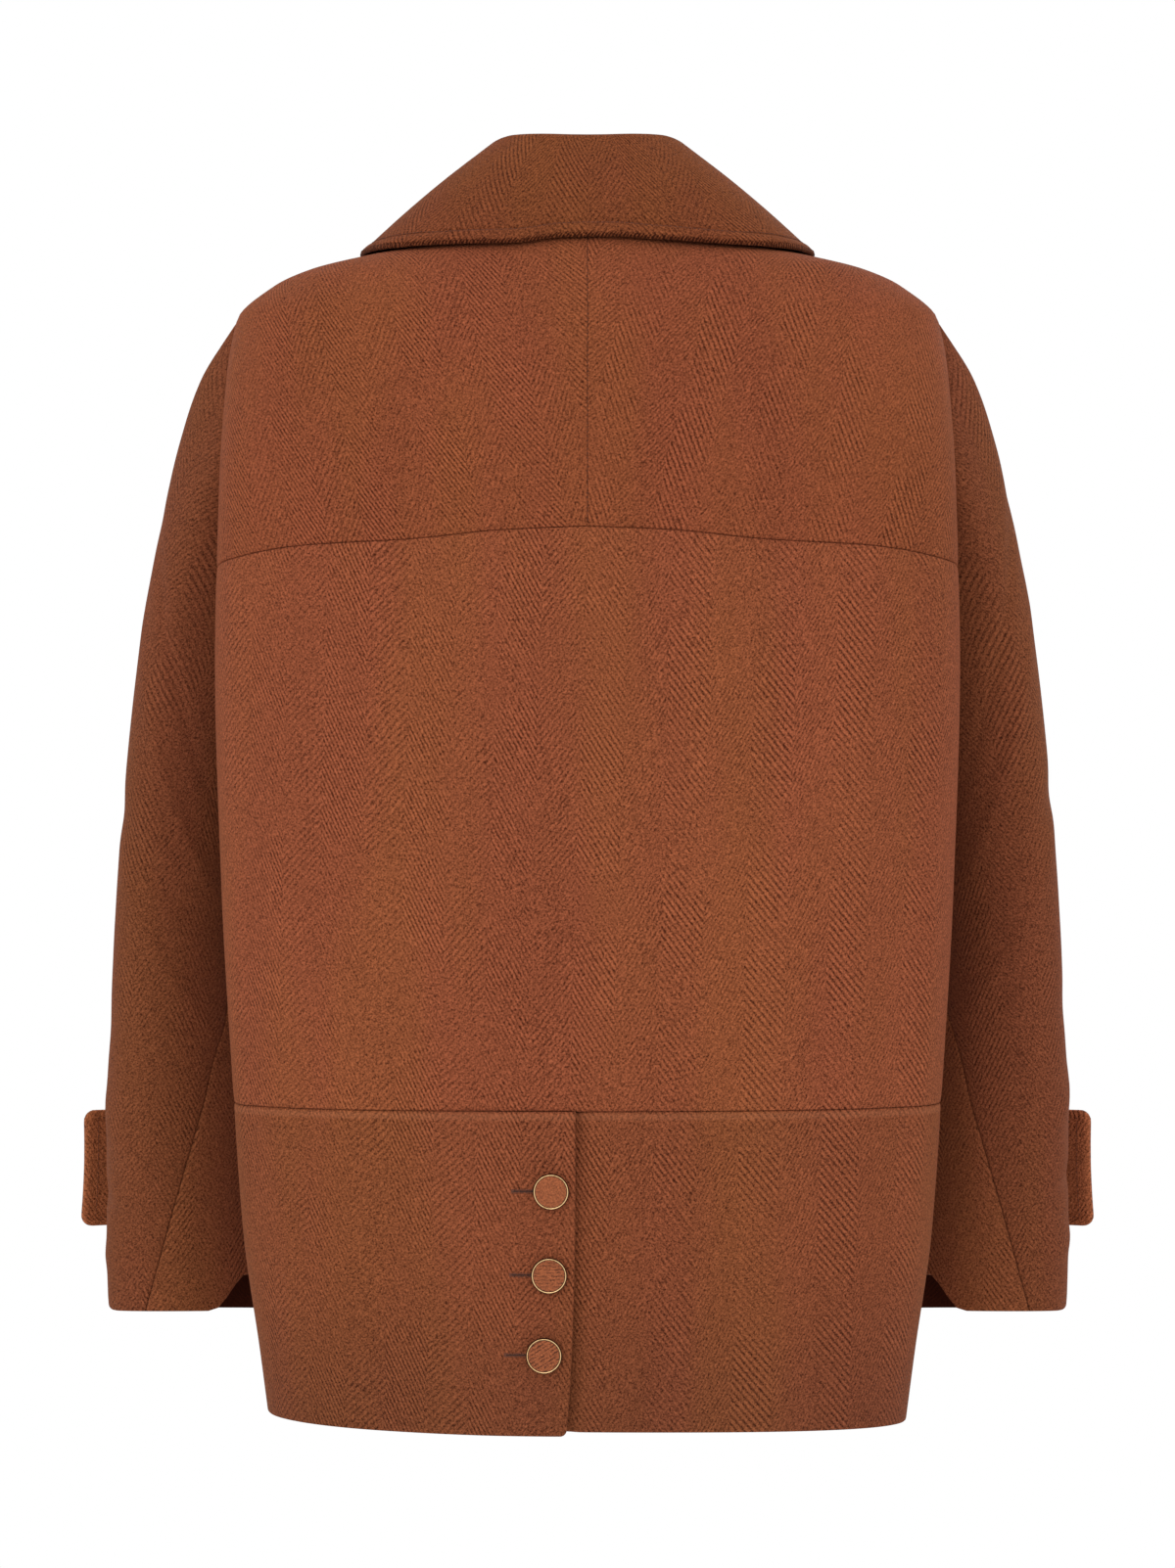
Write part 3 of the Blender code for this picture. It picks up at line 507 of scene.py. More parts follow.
class Finish:
    """A material, its Principled shader and the nodes behind it."""

    def __init__(self, name, **constants):
        self.material = bpy.data.materials.new(name)
        self.material.use_nodes = True
        self.tree = self.material.node_tree
        self.shader = self.tree.nodes["Principled BSDF"]
        for socket, number in constants.items():
            self.shader.inputs[socket.replace("_", " ")].default_value = number

    def put(self, item, socket):
        if isinstance(item, Value):
            self.tree.links.new(item.socket, socket)
        else:
            socket.default_value = item

    def node(self, kind, settings=None, sockets=None, out=0):
        """A node of that type: its settings first, then its sockets' values or links."""
        made = self.tree.nodes.new(kind)
        for name, setting in (settings or {}).items():
            setattr(made, name, setting)
        for name, item in (sockets or {}).items():
            self.put(item, made.inputs[name])
        return Value(self, made.outputs[out])

    def place(self):
        """Where a point lies on its piece."""
        return self.node("ShaderNodeTexCoord", out="Object")

    def part(self, vector, number):
        """The x, y or z of a vector: 0, 1 or 2."""
        return self.node("ShaderNodeSeparateXYZ", {}, {0: vector}, out=number)

    def mix(self, share, a, b, **blend_type):
        """From colour a to colour b."""
        settings = {"data_type": "RGBA", **blend_type, "clamp_factor": True}
        return self.node("ShaderNodeMix", settings, {0: share, 6: a, 7: b}, out=2)

    def tinted(self, colour, tint):
        """One colour times another."""
        return self.mix(1.0, colour, tint, blend_type="MULTIPLY")

    def noise(self, place, scale, detail=2.0, roughness=0.5):
        settings = {"noise_dimensions": "3D"}
        sockets = {"Vector": place, "Scale": scale, "Detail": detail, "Roughness": roughness}
        return self.node("ShaderNodeTexNoise", settings, sockets)

    def ramp(self, value, low, high):
        """0 below low, 1 above high, smooth between."""
        settings = {"interpolation_type": "SMOOTHSTEP"}
        sockets = {"Value": value, "From Min": low, "From Max": high}
        return self.node("ShaderNodeMapRange", settings, sockets)

    def bump(self, height, strength, distance):
        sockets = {"Height": height, "Strength": strength, "Distance": distance}
        return self.node("ShaderNodeBump", {}, sockets)

    def show(self, colour, relief, strength, distance):
        """Give the surface its colour and its relief, and give back the material."""
        self.put(colour, self.shader.inputs["Base Color"])
        self.put(self.bump(relief, strength, distance), self.shader.inputs["Normal"])
        return self.material


# %% [markdown]
# ## Herringbone wool
# The cloth is a heavy wool woven in a broken zigzag: steep twill lines that lean one
# way in one column and the other way in the next. Its nap half hides them, more in
# some columns than in others. An image would repeat and blur, so the weave is worked
# out from the distances over the cloth, and drawn both as colour and as relief.

# %% Weave and wool
COLUMN_WIDTH = 0.02525
TWILL_APART = 0.0049
TWILL_SLOPE = 1.55
WOOL_DEEP = (0.041, 0.0074, 0.0020, 1.0)
WOOL_PALE = (0.377, 0.1045, 0.0415, 1.0)
WOOL_ROSE = (1.0, 0.975, 1.03, 1.0)
WOOL_STRAW = (0.98, 1.025, 0.94, 1.0)
STREAK_LENGTH = 5.0
WANDER, RAGGED = {"across": 0.0040, "up": 0.0050}, {"across": 0.0012, "up": 0.0016}
FIBRE_WIDTH, FIBRE_LENGTH = 0.0011, 0.0026
WANDER_SCALE, RAGGED_SCALE, PATCH_SCALE, PATCHY = 24.0, 380.0, 21.0, (0.34, 0.66)
GROOVE_SHARP, GROOVE_MIDDLE, OTHER_WAY_FAINTER = 1.5, 0.42, 0.42
EDGE_STROKES, EDGE_ROLLS_OVER = (0.0019, 0.0021), (0.0008, 0.0034)
WHITE = (1.0, 1.0, 1.0, 1.0)


def shade_of(colour, share):
    return tuple(c * part for c, part in zip(colour, np.broadcast_to(share, 3))) + (1.0,)


def weave(finish, cloth, place):
    """(grooves, strokes) of the herringbone: its twill lines, and fibres along them."""
    across, up = finish.part(cloth, 0), finish.part(cloth, 1)
    wander = finish.noise(place, WANDER_SCALE, 2.0) - 0.5
    ragged = finish.noise(place, RAGGED_SCALE, 1.0) - 0.5
    column = (across + wander * WANDER["across"] + ragged * RAGGED["across"]) / COLUMN_WIDTH
    zigzag = column.math("PINGPONG", 1.0) * COLUMN_WIDTH
    number = column.math("FLOOR")
    other_way = number.math("FLOORED_MODULO", 2.0)
    climb = up + wander * WANDER["up"] + ragged * RAGGED["up"] - zigzag * TWILL_SLOPE
    along = zigzag + up * TWILL_SLOPE
    phase = climb / TWILL_APART + other_way * 0.5
    wave = (phase * (2.0 * math.pi)).math("COSINE") * 0.5 + 0.5
    yarn = {0: climb / FIBRE_WIDTH, 1: along / FIBRE_LENGTH, 2: number * 7.3}
    fibres = finish.node("ShaderNodeCombineXYZ", {}, yarn)
    strokes = finish.noise(fibres, 1.0, 2.0)
    patches = finish.ramp(finish.noise(place, PATCH_SCALE, 2.0), *PATCHY)
    clear = (0.30 + patches * 0.70) * (1.0 - other_way * OTHER_WAY_FAINTER)
    return (wave**GROOVE_SHARP - GROOVE_MIDDLE) * clear, strokes


def edge_strokes(finish, cloth):
    """Short slanted strokes where the twill turns over an edge at v = 0."""
    along, inward = finish.part(cloth, 0), finish.part(cloth, 1)
    slanted = (along / EDGE_STROKES[0] + inward / EDGE_STROKES[1]) * (2.0 * math.pi)
    near = 1.0 - finish.ramp(inward, *EDGE_ROLLS_OVER)
    return (slanted.math("COSINE") * 0.5 + 0.62) * near


print("herringbone columns of", COLUMN_WIDTH * 1000, "mm")

# %% The finishes of the cloth's face
# Painted highlight along the band's top edge, and painted shade towards its hem.
BAND_EDGE_LIGHT, BAND_EDGE_HIGHLIGHT = 0.10, (0.62, 0.24, 0.12, 1.0)
BAND_EDGE_BELOW, BAND_EDGE_SPREAD = 0.0030, (0.0008, 0.0030)
HEM_SHADE_Z, HEM_SHADE_TINT = (-0.700, -0.560), (0.78, 0.80, 0.86, 1.0)
NAP_SCALE, HUE_SCALE, STREAK_SCALE = 900.0, 15.0, 17.0
SHADE = {"grooves": 0.50, "strokes": 0.95, "nap": 2.0, "edge": 0.55, "streaks": 0.20}


def band_painted_light_and_shade(finish, place, colour):
    """Painted light and shade on a band: a painted highlight along its top edge, and painted
    shade that darkens it towards its hem.
    """
    height = finish.part(place, 2)
    from_edge = (height - BAND_Z + BAND_EDGE_BELOW).math("ABSOLUTE")
    top_edge = 1.0 - finish.ramp(from_edge, *BAND_EDGE_SPREAD)
    edge_highlight = finish.mix(top_edge * BAND_EDGE_LIGHT, colour, BAND_EDGE_HIGHLIGHT)
    # Painted shade: darker towards the hem.
    wear_and_hem_shade = 1.0 - finish.ramp(height + finish.noise(place, 9.0) * 0.06, *HEM_SHADE_Z)
    return finish.tinted(edge_highlight, finish.mix(wear_and_hem_shade, WHITE, HEM_SHADE_TINT))


def wool(name, tone, crisp=1.0, rolled_edge=False, band_light_and_shade=False):
    """The coat's cloth.

    tone is the share of red, green and blue that it shows, and crisp says how clearly
    its weave shows.
    """
    sheen = {"Sheen_Weight": 0.06, "Sheen_Roughness": 0.45, "Sheen_Tint": (0.75, 0.30, 0.16, 1.0)}
    finish = Finish(name, Roughness=0.95, Specular_IOR_Level=0.10, **sheen)
    cloth = finish.node("ShaderNodeUVMap", {"uv_map": "cloth"})
    place = finish.place()
    grooves, strokes = weave(finish, cloth, place)
    nap = finish.noise(place, NAP_SCALE, 2.0, roughness=0.8) - 0.5
    shade = 0.50 - grooves * (SHADE["grooves"] * crisp)
    shade = shade + (strokes - 0.5) * SHADE["strokes"] + nap * SHADE["nap"]
    if rolled_edge:
        shade = shade - edge_strokes(finish, cloth) * SHADE["edge"]
    long_way = {0: place, 1: (1.0, 1.0, 1.0 / STREAK_LENGTH)}
    streaks = finish.node("ShaderNodeVectorMath", {"operation": "MULTIPLY"}, long_way)
    hue = finish.ramp(finish.noise(streaks, HUE_SCALE, 2.0), *PATCHY)
    shade = shade + (finish.noise(streaks, STREAK_SCALE, 2.0) - 0.5) * SHADE["streaks"]
    colour = finish.mix(shade, shade_of(WOOL_DEEP, tone), shade_of(WOOL_PALE, tone))
    colour = finish.tinted(colour, finish.mix(hue, WOOL_ROSE, WOOL_STRAW))
    if band_light_and_shade:
        colour = band_painted_light_and_shade(finish, place, colour)
    return finish.show(colour, shade, 0.5, 0.0006)


# The pieces are one cloth. The band, sleeves, under-sleeves and collar get darker tones as
# painted shade, and the straps a brighter one as painted light. The band also gets a painted
# highlight along its top edge and painted shade towards its hem.
BODY_WOOL = wool("body_wool", (1.05, 1.06, 1.10))
YOKE_WOOL = wool("yoke_wool", (0.99, 0.97, 0.98))
BAND_WOOL = wool("band_wool", (0.94, 0.98, 0.98), band_light_and_shade=True)
SLEEVE_WOOL = wool("sleeve_wool", (0.77, 0.82, 0.86), crisp=0.8)
UNDER_WOOL = wool("under_sleeve_wool", (0.88, 0.97, 0.98))
STRAP_WOOL = wool("strap_wool", (1.34, 1.48, 1.60), crisp=1.3)
COLLAR_WOOL = wool("collar_wool", (0.77, 0.78, 0.70), rolled_edge=True)
print("seven wool finishes made")

# %% [markdown]
# The inside of the coat is seen only as darkness in the cuffs. The cloth's reverse is
# plainer than its face; its finish is made much darker as painted shade for the inside.


# %% The cloth's reverse
def reverse():
    finish = Finish("wool_reverse_painted_shade", Roughness=1.0, Specular_IOR_Level=0.1)
    cloth = finish.node("ShaderNodeUVMap", {"uv_map": "cloth"})
    grooves, strokes = weave(finish, cloth, finish.place())
    shade = 0.5 - grooves * 0.5 + (strokes - 0.5) * 0.9
    # Much darker than the face: painted shade for the inside of the coat.
    colour = finish.mix(shade, (0.010, 0.0012, 0.0002, 1.0), (0.050, 0.0080, 0.0022, 1.0))
    return finish.show(colour, shade, 0.4, 0.0005)


SHADED_REVERSE = reverse()
print("made", SHADED_REVERSE.name)

# %% [markdown]
# ## Back body
# Below the yoke the back is one piece from side seam to side seam. It is seamed to
# the yoke above and the band below. A patch of the body is enough: its rows run from
# the band seam up to the arched yoke seam.

# %% Soft folds
def soft_folds(angle, z):
    """Shallow troughs and ridges that the cloth falls into, in metres."""
    high = np.zeros(np.broadcast(angle, z).shape)
    for centre, top, low, lean, width, height in FOLDS:
        down = (top - z) / (top - low)
        line = centre + lean * down
        swell = within(down, 0.0, 1.0) * (1 - within(down, 0.0, 1.0)) * 4
        high = high + height * hill(angle - line, width) * swell
    return high


FOLDS = (
    # angle, top z, low z, lean, width in degrees, height
    (-52.0, -0.22, -0.58, -6.0, 7.0, -0.0010),
    (-66.0, -0.30, -0.66, 4.0, 6.0, 0.0009),
    (-24.0, -0.26, -0.50, 3.0, 8.0, 0.0006),
    (6.0, -0.30, -0.52, -2.0, 7.0, -0.0005),
    (31.0, -0.24, -0.52, -4.0, 9.0, 0.0006),
    (58.0, -0.20, -0.56, 5.0, 7.0, -0.0010),
    (72.0, -0.34, -0.68, -3.0, 6.0, 0.0008),
    (-38.0, -0.01, -0.20, -10.0, 6.0, -0.0006),
    (41.0, -0.01, -0.20, 9.0, 6.0, -0.0006),
    (128.0, -0.20, -0.60, 4.0, 7.0, -0.0012),
    (-126.0, -0.18, -0.62, -5.0, 8.0, -0.0012),
    (148.0, -0.12, -0.50, 3.0, 8.0, 0.0010),
    (-150.0, -0.14, -0.48, -3.0, 7.0, 0.0010),
)
print("folds on the body:", len(FOLDS))

# %% Back body
BODY_GRAIN, BACK_SHIFT = -1.8, (0.0225, 0.0)
# The side seam's share of the edge, and the armhole's step where the yoke begins.
SIDE_SHARE, YOKE_STEP = 0.75, 6.0


def body_panel(node, angle, z, uv, edges, out=0.0, wool=BODY_WOOL, rests_on=()):
    """A panel of the body, from its angles and heights."""
    normals = body_normal(angle, z)
    lift = out + soft_folds(angle, z)
    points = body_point(angle, z) + normals * lift[..., None]
    shell(node, points, normals, uv, edges, (wool, SHADED_REVERSE), "body_wool", "hung", rests_on)


def side_of_back(t):
    """(z, angle) up the back's side edge: the side seam, then the armhole's foot."""
    seam = t < SIDE_SHARE
    z, back, _ = armhole(blend(ARMHOLE_STEPS, YOKE_STEP, within(t, SIDE_SHARE, 1.0)))
    low = blend(BAND_Z, UNDERARM_Z, within(t, 0.0, SIDE_SHARE))
    return np.where(seam, low, z), np.where(seam, SIDE_SEAM, back)


def back_body():
    t, s = patch(0.33, 0.60)
    s = blend(-1.0, 1.0, s)
    side_z, side_angle = side_of_back(t)
    top_z, top_angle = side_of_back(np.ones(1))
    angle = s * side_angle
    top = follow(YOKE_SEAM, np.abs(s * top_angle))
    rise = (side_z - BAND_Z) / (top_z - BAND_Z)
    z = blend(BAND_Z, top, rise) + 0.0 * angle
    uv = threads(angle, z, lean=BODY_GRAIN, shift=BACK_SHIFT)
    body_panel("back_body", angle, z, uv, edged("seam"), rests_on="back_yoke_left_cloth")


back_body()

# %% [markdown]
# ## Back yokes
# Two halves meet in a stitched centre-back seam and carry the rest of the back. Their
# grain leans outwards at the top, which shows in the weave. Each is a patch between
# the centre back, the neck, the shoulder seam, the armhole and the arched seam.


# %% Back yokes
WORD = {1: "left", -1: "right"}
YOKE_GRAIN, YOKE_SHIFT, ARMHOLE_SHARE = 15.0, 0.011, 0.5


def side_of_yoke(t):
    """(z, angle) up the yoke's side edge: the armhole, then the shoulder seam."""
    z, back, _ = armhole(blend(YOKE_STEP, 0.0, within(t, 0.0, ARMHOLE_SHARE)))
    shoulder = shoulder_z(within(t, ARMHOLE_SHARE, 1.0))
    low = t < ARMHOLE_SHARE
    return np.where(low, z, shoulder), np.where(low, back, RIDGE)


def back_yoke(side):
    t, s = patch(0.30, 0.29)
    side_z, side_angle = side_of_yoke(t)
    foot_z, foot_angle = side_of_yoke(np.zeros(1))
    angle = s * side_angle * side
    seam = follow(YOKE_SEAM, s * foot_angle)
    level = smoothstep(s, 0.15, 1.0)
    z = blend(blend(seam, NECK_Z, t), side_z, level)
    z = z + (seam - blend(seam, foot_z, level)) * (1 - t) ** 4
    edges = edged("seam", first_column="flat_seam", last_row="fold")
    uv = threads(angle, z, lean=YOKE_GRAIN * side, shift=(YOKE_SHIFT * side, 0.0))
    body_panel(f"back_yoke_{WORD[side]}", angle, z, uv, edges, wool=YOKE_WOOL)


for side in WORD:
    back_yoke(side)

# %% [markdown]
# ## Hem bands behind
# A deep band finishes the coat. At the centre back its left half laps over its right
# half and buttons down, so the left half stands out a little and the right half dips
# under it. Both are patches whose inner edge follows the lap.


# %% Hem bands behind
BODY_ROUND, PRESSED_EDGE, LAP_TROUGH = 1.27, 0.0008, 0.0034
EDGE_PRESS_WIDTH, LAP_TROUGH_WIDTH, HEM_CORNER = 0.002, 0.0048, 0.0045
LAP_FADES_OVER, DIP_FROM, CORNER_FROM = 20.0, -8.0, 0.85
HEMS = {1: LEFT_HEM, -1: RIGHT_HEM}
BAND_SHIFTS = {1: (0.020, 0.004), -1: BACK_SHIFT}


def band_heights(angle, hem, t):
    edge = blend(hem["centre"], hem["side"], np.sin(np.radians(np.abs(angle))) ** 2)
    return blend(BAND_Z, edge, t)


def under_edge(z):
    return angle_of_x(LAP_UNDER_X, z)


def over_edge(z, t):
    return angle_of_x(LAP_EDGE_X + LAP_EDGE_SWING * t**3, z)


def back_band(side):
    hem = HEMS[side]
    t, s = patch(0.19, 0.31 if side > 0 else 0.36)
    centre_z = band_heights(np.zeros(1), hem, t)
    edge, under = over_edge(centre_z, t), under_edge(centre_z)
    unders = under_edge(np.array([BAND_Z, hem["centre"]]))
    if side > 0:
        angle = blend(edge, SIDE_SEAM, s)
        out = LAP_OUT * (1.0 - smoothstep(angle, unders.max(), unders.max() + LAP_FADES_OVER))
    else:
        angle = blend(-SIDE_SEAM, under, s)
        out = -LAP_IN * smoothstep(angle, DIP_FROM, unders.min())
    from_edge = (angle - edge) / 360.0 * BODY_ROUND
    z = band_heights(angle, hem, t)
    if side > 0:
        out = out + PRESSED_EDGE * hill(from_edge - EDGE_PRESS_WIDTH, EDGE_PRESS_WIDTH)
        z = z + rolled(from_edge, HEM_CORNER) * smoothstep(t, CORNER_FROM, 1.0)
        edges = edged("seam", first_column="fold", last_row="fold")
    else:
        out = out - LAP_TROUGH * hill(from_edge, LAP_TROUGH_WIDTH)
        edges = edged("seam", last_column="fold", last_row="fold")
    uv = threads(angle, z, lean=BODY_GRAIN, shift=BAND_SHIFTS[side])
    name = f"band_back_{WORD[side]}"
    body_panel(name, angle, z, uv, edges, out, BAND_WOOL, "back_body_cloth")


for side in WORD:
    back_band(side)

# %% [markdown]
# ## Fronts and their bands
# The photograph shows only the back. A coat closes in front, so plain fronts lap at
# the centre, right over left, and carry on into the same band.


# %% Fronts
# Shares of the front's side edge, then shares of its width.
FRONT_ARMHOLE, FRONT_SHOULDER, LAP_FROM, LAP_CENTRE = 0.36, 0.74, 0.85, 0.925
LAP_EASES_OVER, FRONT_SHIFT = 22.0, 0.013


def side_of_front(t):
    """(z, angle) up the front's side edge: side seam, armhole, shoulder seam."""
    step = blend(ARMHOLE_STEPS, 0.0, within(t, FRONT_ARMHOLE, FRONT_SHOULDER))
    z, _, front = armhole(step)
    low = blend(BAND_Z, UNDERARM_Z, within(t, 0.0, FRONT_ARMHOLE))
    top = shoulder_z(within(t, FRONT_SHOULDER, 1.0))
    seam, below_shoulder = t < FRONT_ARMHOLE, t < FRONT_SHOULDER
    z = np.where(seam, low, np.where(below_shoulder, z, top))
    return z, np.where(seam, SIDE_SEAM, np.where(below_shoulder, front, RIDGE))


def front_angle(side_angle, s):
    lap = 2 * FRONT_LAP * within(s, LAP_FROM, 1.0)
    return blend(side_angle, CENTRE_FRONT - FRONT_LAP, within(s, 0.0, LAP_FROM)) + lap


def front_panel(name, side, angle, z, wool, rests_on):
    """A panel of the front. At the centre the right one lies over the left one."""
    start = CENTRE_FRONT - FRONT_LAP
    over = LAP_OUT if side < 0 else -LAP_IN
    out = smoothstep(angle, start - LAP_EASES_OVER, start) * over
    edges = edged("seam", last_row="fold", last_column="fold")
    uv = threads(angle * side, z, from_front=True, shift=(FRONT_SHIFT * side, 0.0))
    body_panel(f"{name}_{WORD[side]}", angle * side, z, uv, edges, out, wool, rests_on)


def front(side):
    t, s = patch(0.62, 0.34, PLAIN)
    side_z, side_angle = side_of_front(t)
    neck = follow(NECKLINE, round_body(front_angle(RIDGE, s)))
    rise = (side_z - BAND_Z) / (NECK_Z - BAND_Z)
    even = blend(rise, t, smoothstep(t, 0.0, 0.6))
    rise = blend(rise, even, smoothstep(s, 0.0, LAP_CENTRE))
    z = blend(BAND_Z, neck, rise)
    front_panel("front", side, front_angle(side_angle, s), z, BODY_WOOL, "back_yoke_left_cloth")


def front_band(side):
    t, s = patch(0.19, 0.28, PLAIN)
    angle = front_angle(SIDE_SEAM, s) + 0.0 * t
    z = band_heights(angle, HEMS[side], t)
    front_panel("band_front", side, angle, z, BAND_WOOL, "front_left_cloth")


for side in WORD:
    front(side)
    front_band(side)

# %% [markdown]
# ## Sleeves
# Each sleeve is cut in two pieces, an upper and an under, that meet in a back seam and
# a front seam. It starts as the armhole's ring and settles into a slanted tube that
# comes forward as an arm does. A plain tube would miss the armhole, so each point is
# a tube point moved by what the ring needs, less and less down the sleeve.

# %% Sizes of the sleeve
SLEEVE = (
    # z, outer_x, inner_x, centre_y, half_depth
    (-0.045, 0.2160, 0.150, 0.000, 0.040),
    (-0.081, 0.2405, 0.165, -0.012, 0.054),
    (-0.117, 0.2540, 0.180, -0.022, 0.062),
    (-0.153, 0.2632, 0.190, -0.031, 0.067),
    (-0.189, 0.2700, 0.196, -0.039, 0.068),
    (-0.224, 0.2755, 0.199, -0.045, 0.067),
    (-0.260, 0.2798, 0.201, -0.050, 0.066),
    (-0.333, 0.2864, 0.203, -0.055, 0.063),
    (-0.406, 0.2920, 0.203, -0.060, 0.060),
    (-0.479, 0.2961, 0.200, -0.064, 0.058),
    (-0.532, 0.2988, 0.197, -0.067, 0.056),
    (-0.610, 0.2991, 0.194, -0.069, 0.055),
    (-0.640, 0.2986, 0.193, -0.069, 0.054),
    (-0.654, 0.2976, 0.193, -0.069, 0.054),
    (-0.658, 0.2952, 0.193, -0.069, 0.054),
    (-0.662, 0.2945, 0.193, -0.069, 0.054),
)
SLEEVE_COLUMNS = "z outer_x inner_x centre_y half_depth".split()
SLEEVE_LEAN, SLEEVE_SETTLES, SEAM_SETTLES = 0.35, 0.62, 0.45
CUFF_Z, CUFF_TILT = -0.6570, 0.0045
CUFF_RISE, CUFF_RISE_AT, CUFF_RISE_SPREAD = 0.0225, 160.0, (8.0, 34.0)
CUFF_CORNER, CUFF_CORNER_AT, CUFF_CORNER_SPREAD = 0.0030, 20.0, 15.0
# The armhole is counted in 20 places, and the upper sleeve takes the first 15 of them.
RING_PLACES, UPPER_PLACES, RING_STARTS = 20.0, 15.0, 7.0
SEAM_ALLOWS, RING_TURNS_OVER, RING_LEANS_MOST, RING_STANDS_OFF = 0.0006, 0.006, 0.75, 0.12
NEAR_PLACE, NEAR_DOWN = 0.02, 0.002
BACK_SEAM = ((0.0, 150.0), (0.54, 149.0), (0.63, 133.5), (0.79, 110.0), (0.9, 95.0), (1.0, 80.0))
FRONT_SEAM = ((0.0, -126.0), (0.55, -120.0), (1.0, -116.0))
LEVEL = np.array([1.0, 1.0, 0.0])
print("sleeve from", SLEEVE[0][0], "to", SLEEVE[-1][0], "m")


# %% Points of the sleeve
def mirrored(side):
    return np.array([side, 1.0, 1.0])


def half_turn(turn):
    """The same direction between -180 and 180 degrees."""
    return (turn + 180.0) % 360.0 - 180.0


def tube_point(turn, z):
    """A point of the free sleeve: turn 0 outside, 90 behind, 180 next to the body."""
    outer, inner = (read(SLEEVE, SLEEVE_COLUMNS, n, z) for n in ("outer_x", "inner_x"))
    depth = read(SLEEVE, SLEEVE_COLUMNS, "half_depth", z)
    half = np.sqrt((0.5 * (outer - inner)) ** 2 - (SLEEVE_LEAN * depth) ** 2)
    across, along = np.cos(np.radians(turn)), np.sin(np.radians(turn))
    x = 0.5 * (outer + inner) + half * across + SLEEVE_LEAN * depth * along
    return np.stack([x, read(SLEEVE, SLEEVE_COLUMNS, "centre_y", z) + depth * along, z], -1)


def armhole_ring(place):
    """(turn, point, body normal) at a place round the armhole."""
    steps = place - RING_STARTS
    near = (steps + RING_PLACES / 2) % RING_PLACES - RING_PLACES / 2
    z, back, front = armhole(np.abs(near))
    angle = np.where(near >= 0, back, front)
    normal = body_normal(angle, z)
    return steps * 360.0 / RING_PLACES, body_point(angle, z) + normal * SEAM_ALLOWS, normal


def cuff_z(turn):
    """The cuff's edge: square to the forearm, and pushed up where it meets the body."""
    away = np.abs(half_turn(turn - CUFF_RISE_AT))
    pushed_up = CUFF_RISE * (1.0 - smoothstep(away, *CUFF_RISE_SPREAD))
    pulled_up = CUFF_CORNER * hill(half_turn(turn - CUFF_CORNER_AT), CUFF_CORNER_SPREAD)
    return CUFF_Z + CUFF_TILT * np.sin(np.radians(turn)) + pushed_up + pulled_up


def seam_turn(place, down):
    """The turn round the tube of a place that keeps its share between the two seams."""
    front, back = follow(FRONT_SEAM, down), follow(BACK_SEAM, down)
    rounds, beyond = np.floor(place / RING_PLACES), place % RING_PLACES
    upper = blend(front, back, beyond / UPPER_PLACES)
    under_share = (beyond - UPPER_PLACES) / (RING_PLACES - UPPER_PLACES)
    under = blend(back, front + 360.0, under_share)
    return np.where(beyond <= UPPER_PLACES, upper, under) + 360.0 * rounds


def sleeve_turn(ring_turn, place, down):
    """The turn round the tube: the ring's own at first, and then the seams'."""
    return blend(ring_turn, seam_turn(place, down), smoothstep(down, 0.0, SEAM_SETTLES))


def sleeve_point(place, down):
    """A point of the sleeve: down runs from 0 at the armhole to 1 at the cuff."""
    ring_turn, ring, _ = armhole_ring(place)
    turn = sleeve_turn(ring_turn, place, down)
    z = blend(ring[..., 2], cuff_z(turn), down)
    fade = np.clip(1.0 - down / SLEEVE_SETTLES, 0.0, 1.0) ** 2
    moved = (ring - tube_point(ring_turn, ring[..., 2])) * LEVEL
    return tube_point(turn, z) + moved * fade[..., None]


def sleeve_normal(place, down):
    """Square to the sleeve, pointing out."""
    along = sleeve_point(place + NEAR_PLACE, down) - sleeve_point(place - NEAR_PLACE, down)
    lower = sleeve_point(place, np.minimum(down + NEAR_DOWN, 1.0))
    higher = sleeve_point(place, np.maximum(down - NEAR_DOWN, 0.0))
    return unit(np.cross(lower - higher, along))


def inside_ring(points, normals, body_out):
    """Directions to the sleeve's inner edge at the armhole, clear of the body."""
    along = unit(np.gradient(points[0], axis=0))
    away = unit(np.cross(body_out, along))
    into = np.clip((-normals[0] * away).sum(-1, keepdims=True), 0.0, RING_LEANS_MOST)
    return (-normals[0] - away * into) / (1.0 - into**2) - away * RING_STANDS_OFF


print("from the shoulder down to the cuff:", round(SHOULDER_Z - CUFF_Z, 3), "m")

# %% [markdown]
# The sleeve's cloth is crushed where the elbow bends. Long shallow folds run round it,
# so ridges and troughs that lean a little are added along the tube.

# %% Folds of the sleeve
SLEEVE_FOLDS = (
    # down, at turn, lean, width, spread in degrees, height
    (0.20, 70.0, 0.05, 0.020, 60.0, -0.0012),
    (0.33, 95.0, 0.08, 0.026, 60.0, 0.0013),
    (0.46, 60.0, -0.04, 0.022, 70.0, -0.0014),
    (0.55, 110.0, 0.06, 0.020, 60.0, 0.0012),
    (0.66, 80.0, -0.05, 0.024, 65.0, -0.0013),
    (0.78, 50.0, 0.03, 0.020, 60.0, 0.0012),
    (0.865, 40.0, 0.02, 0.014, 50.0, -0.0014),
    (0.93, 45.0, 0.00, 0.014, 50.0, 0.0012),
    (0.52, -60.0, -0.06, 0.022, 50.0, -0.0013),
    (0.62, -80.0, 0.05, 0.022, 60.0, 0.0012),
)
FOLDS_START, FOLDS_DIFFER = (0.03, 0.12), {"down": 0.01, "turn": 8.0}


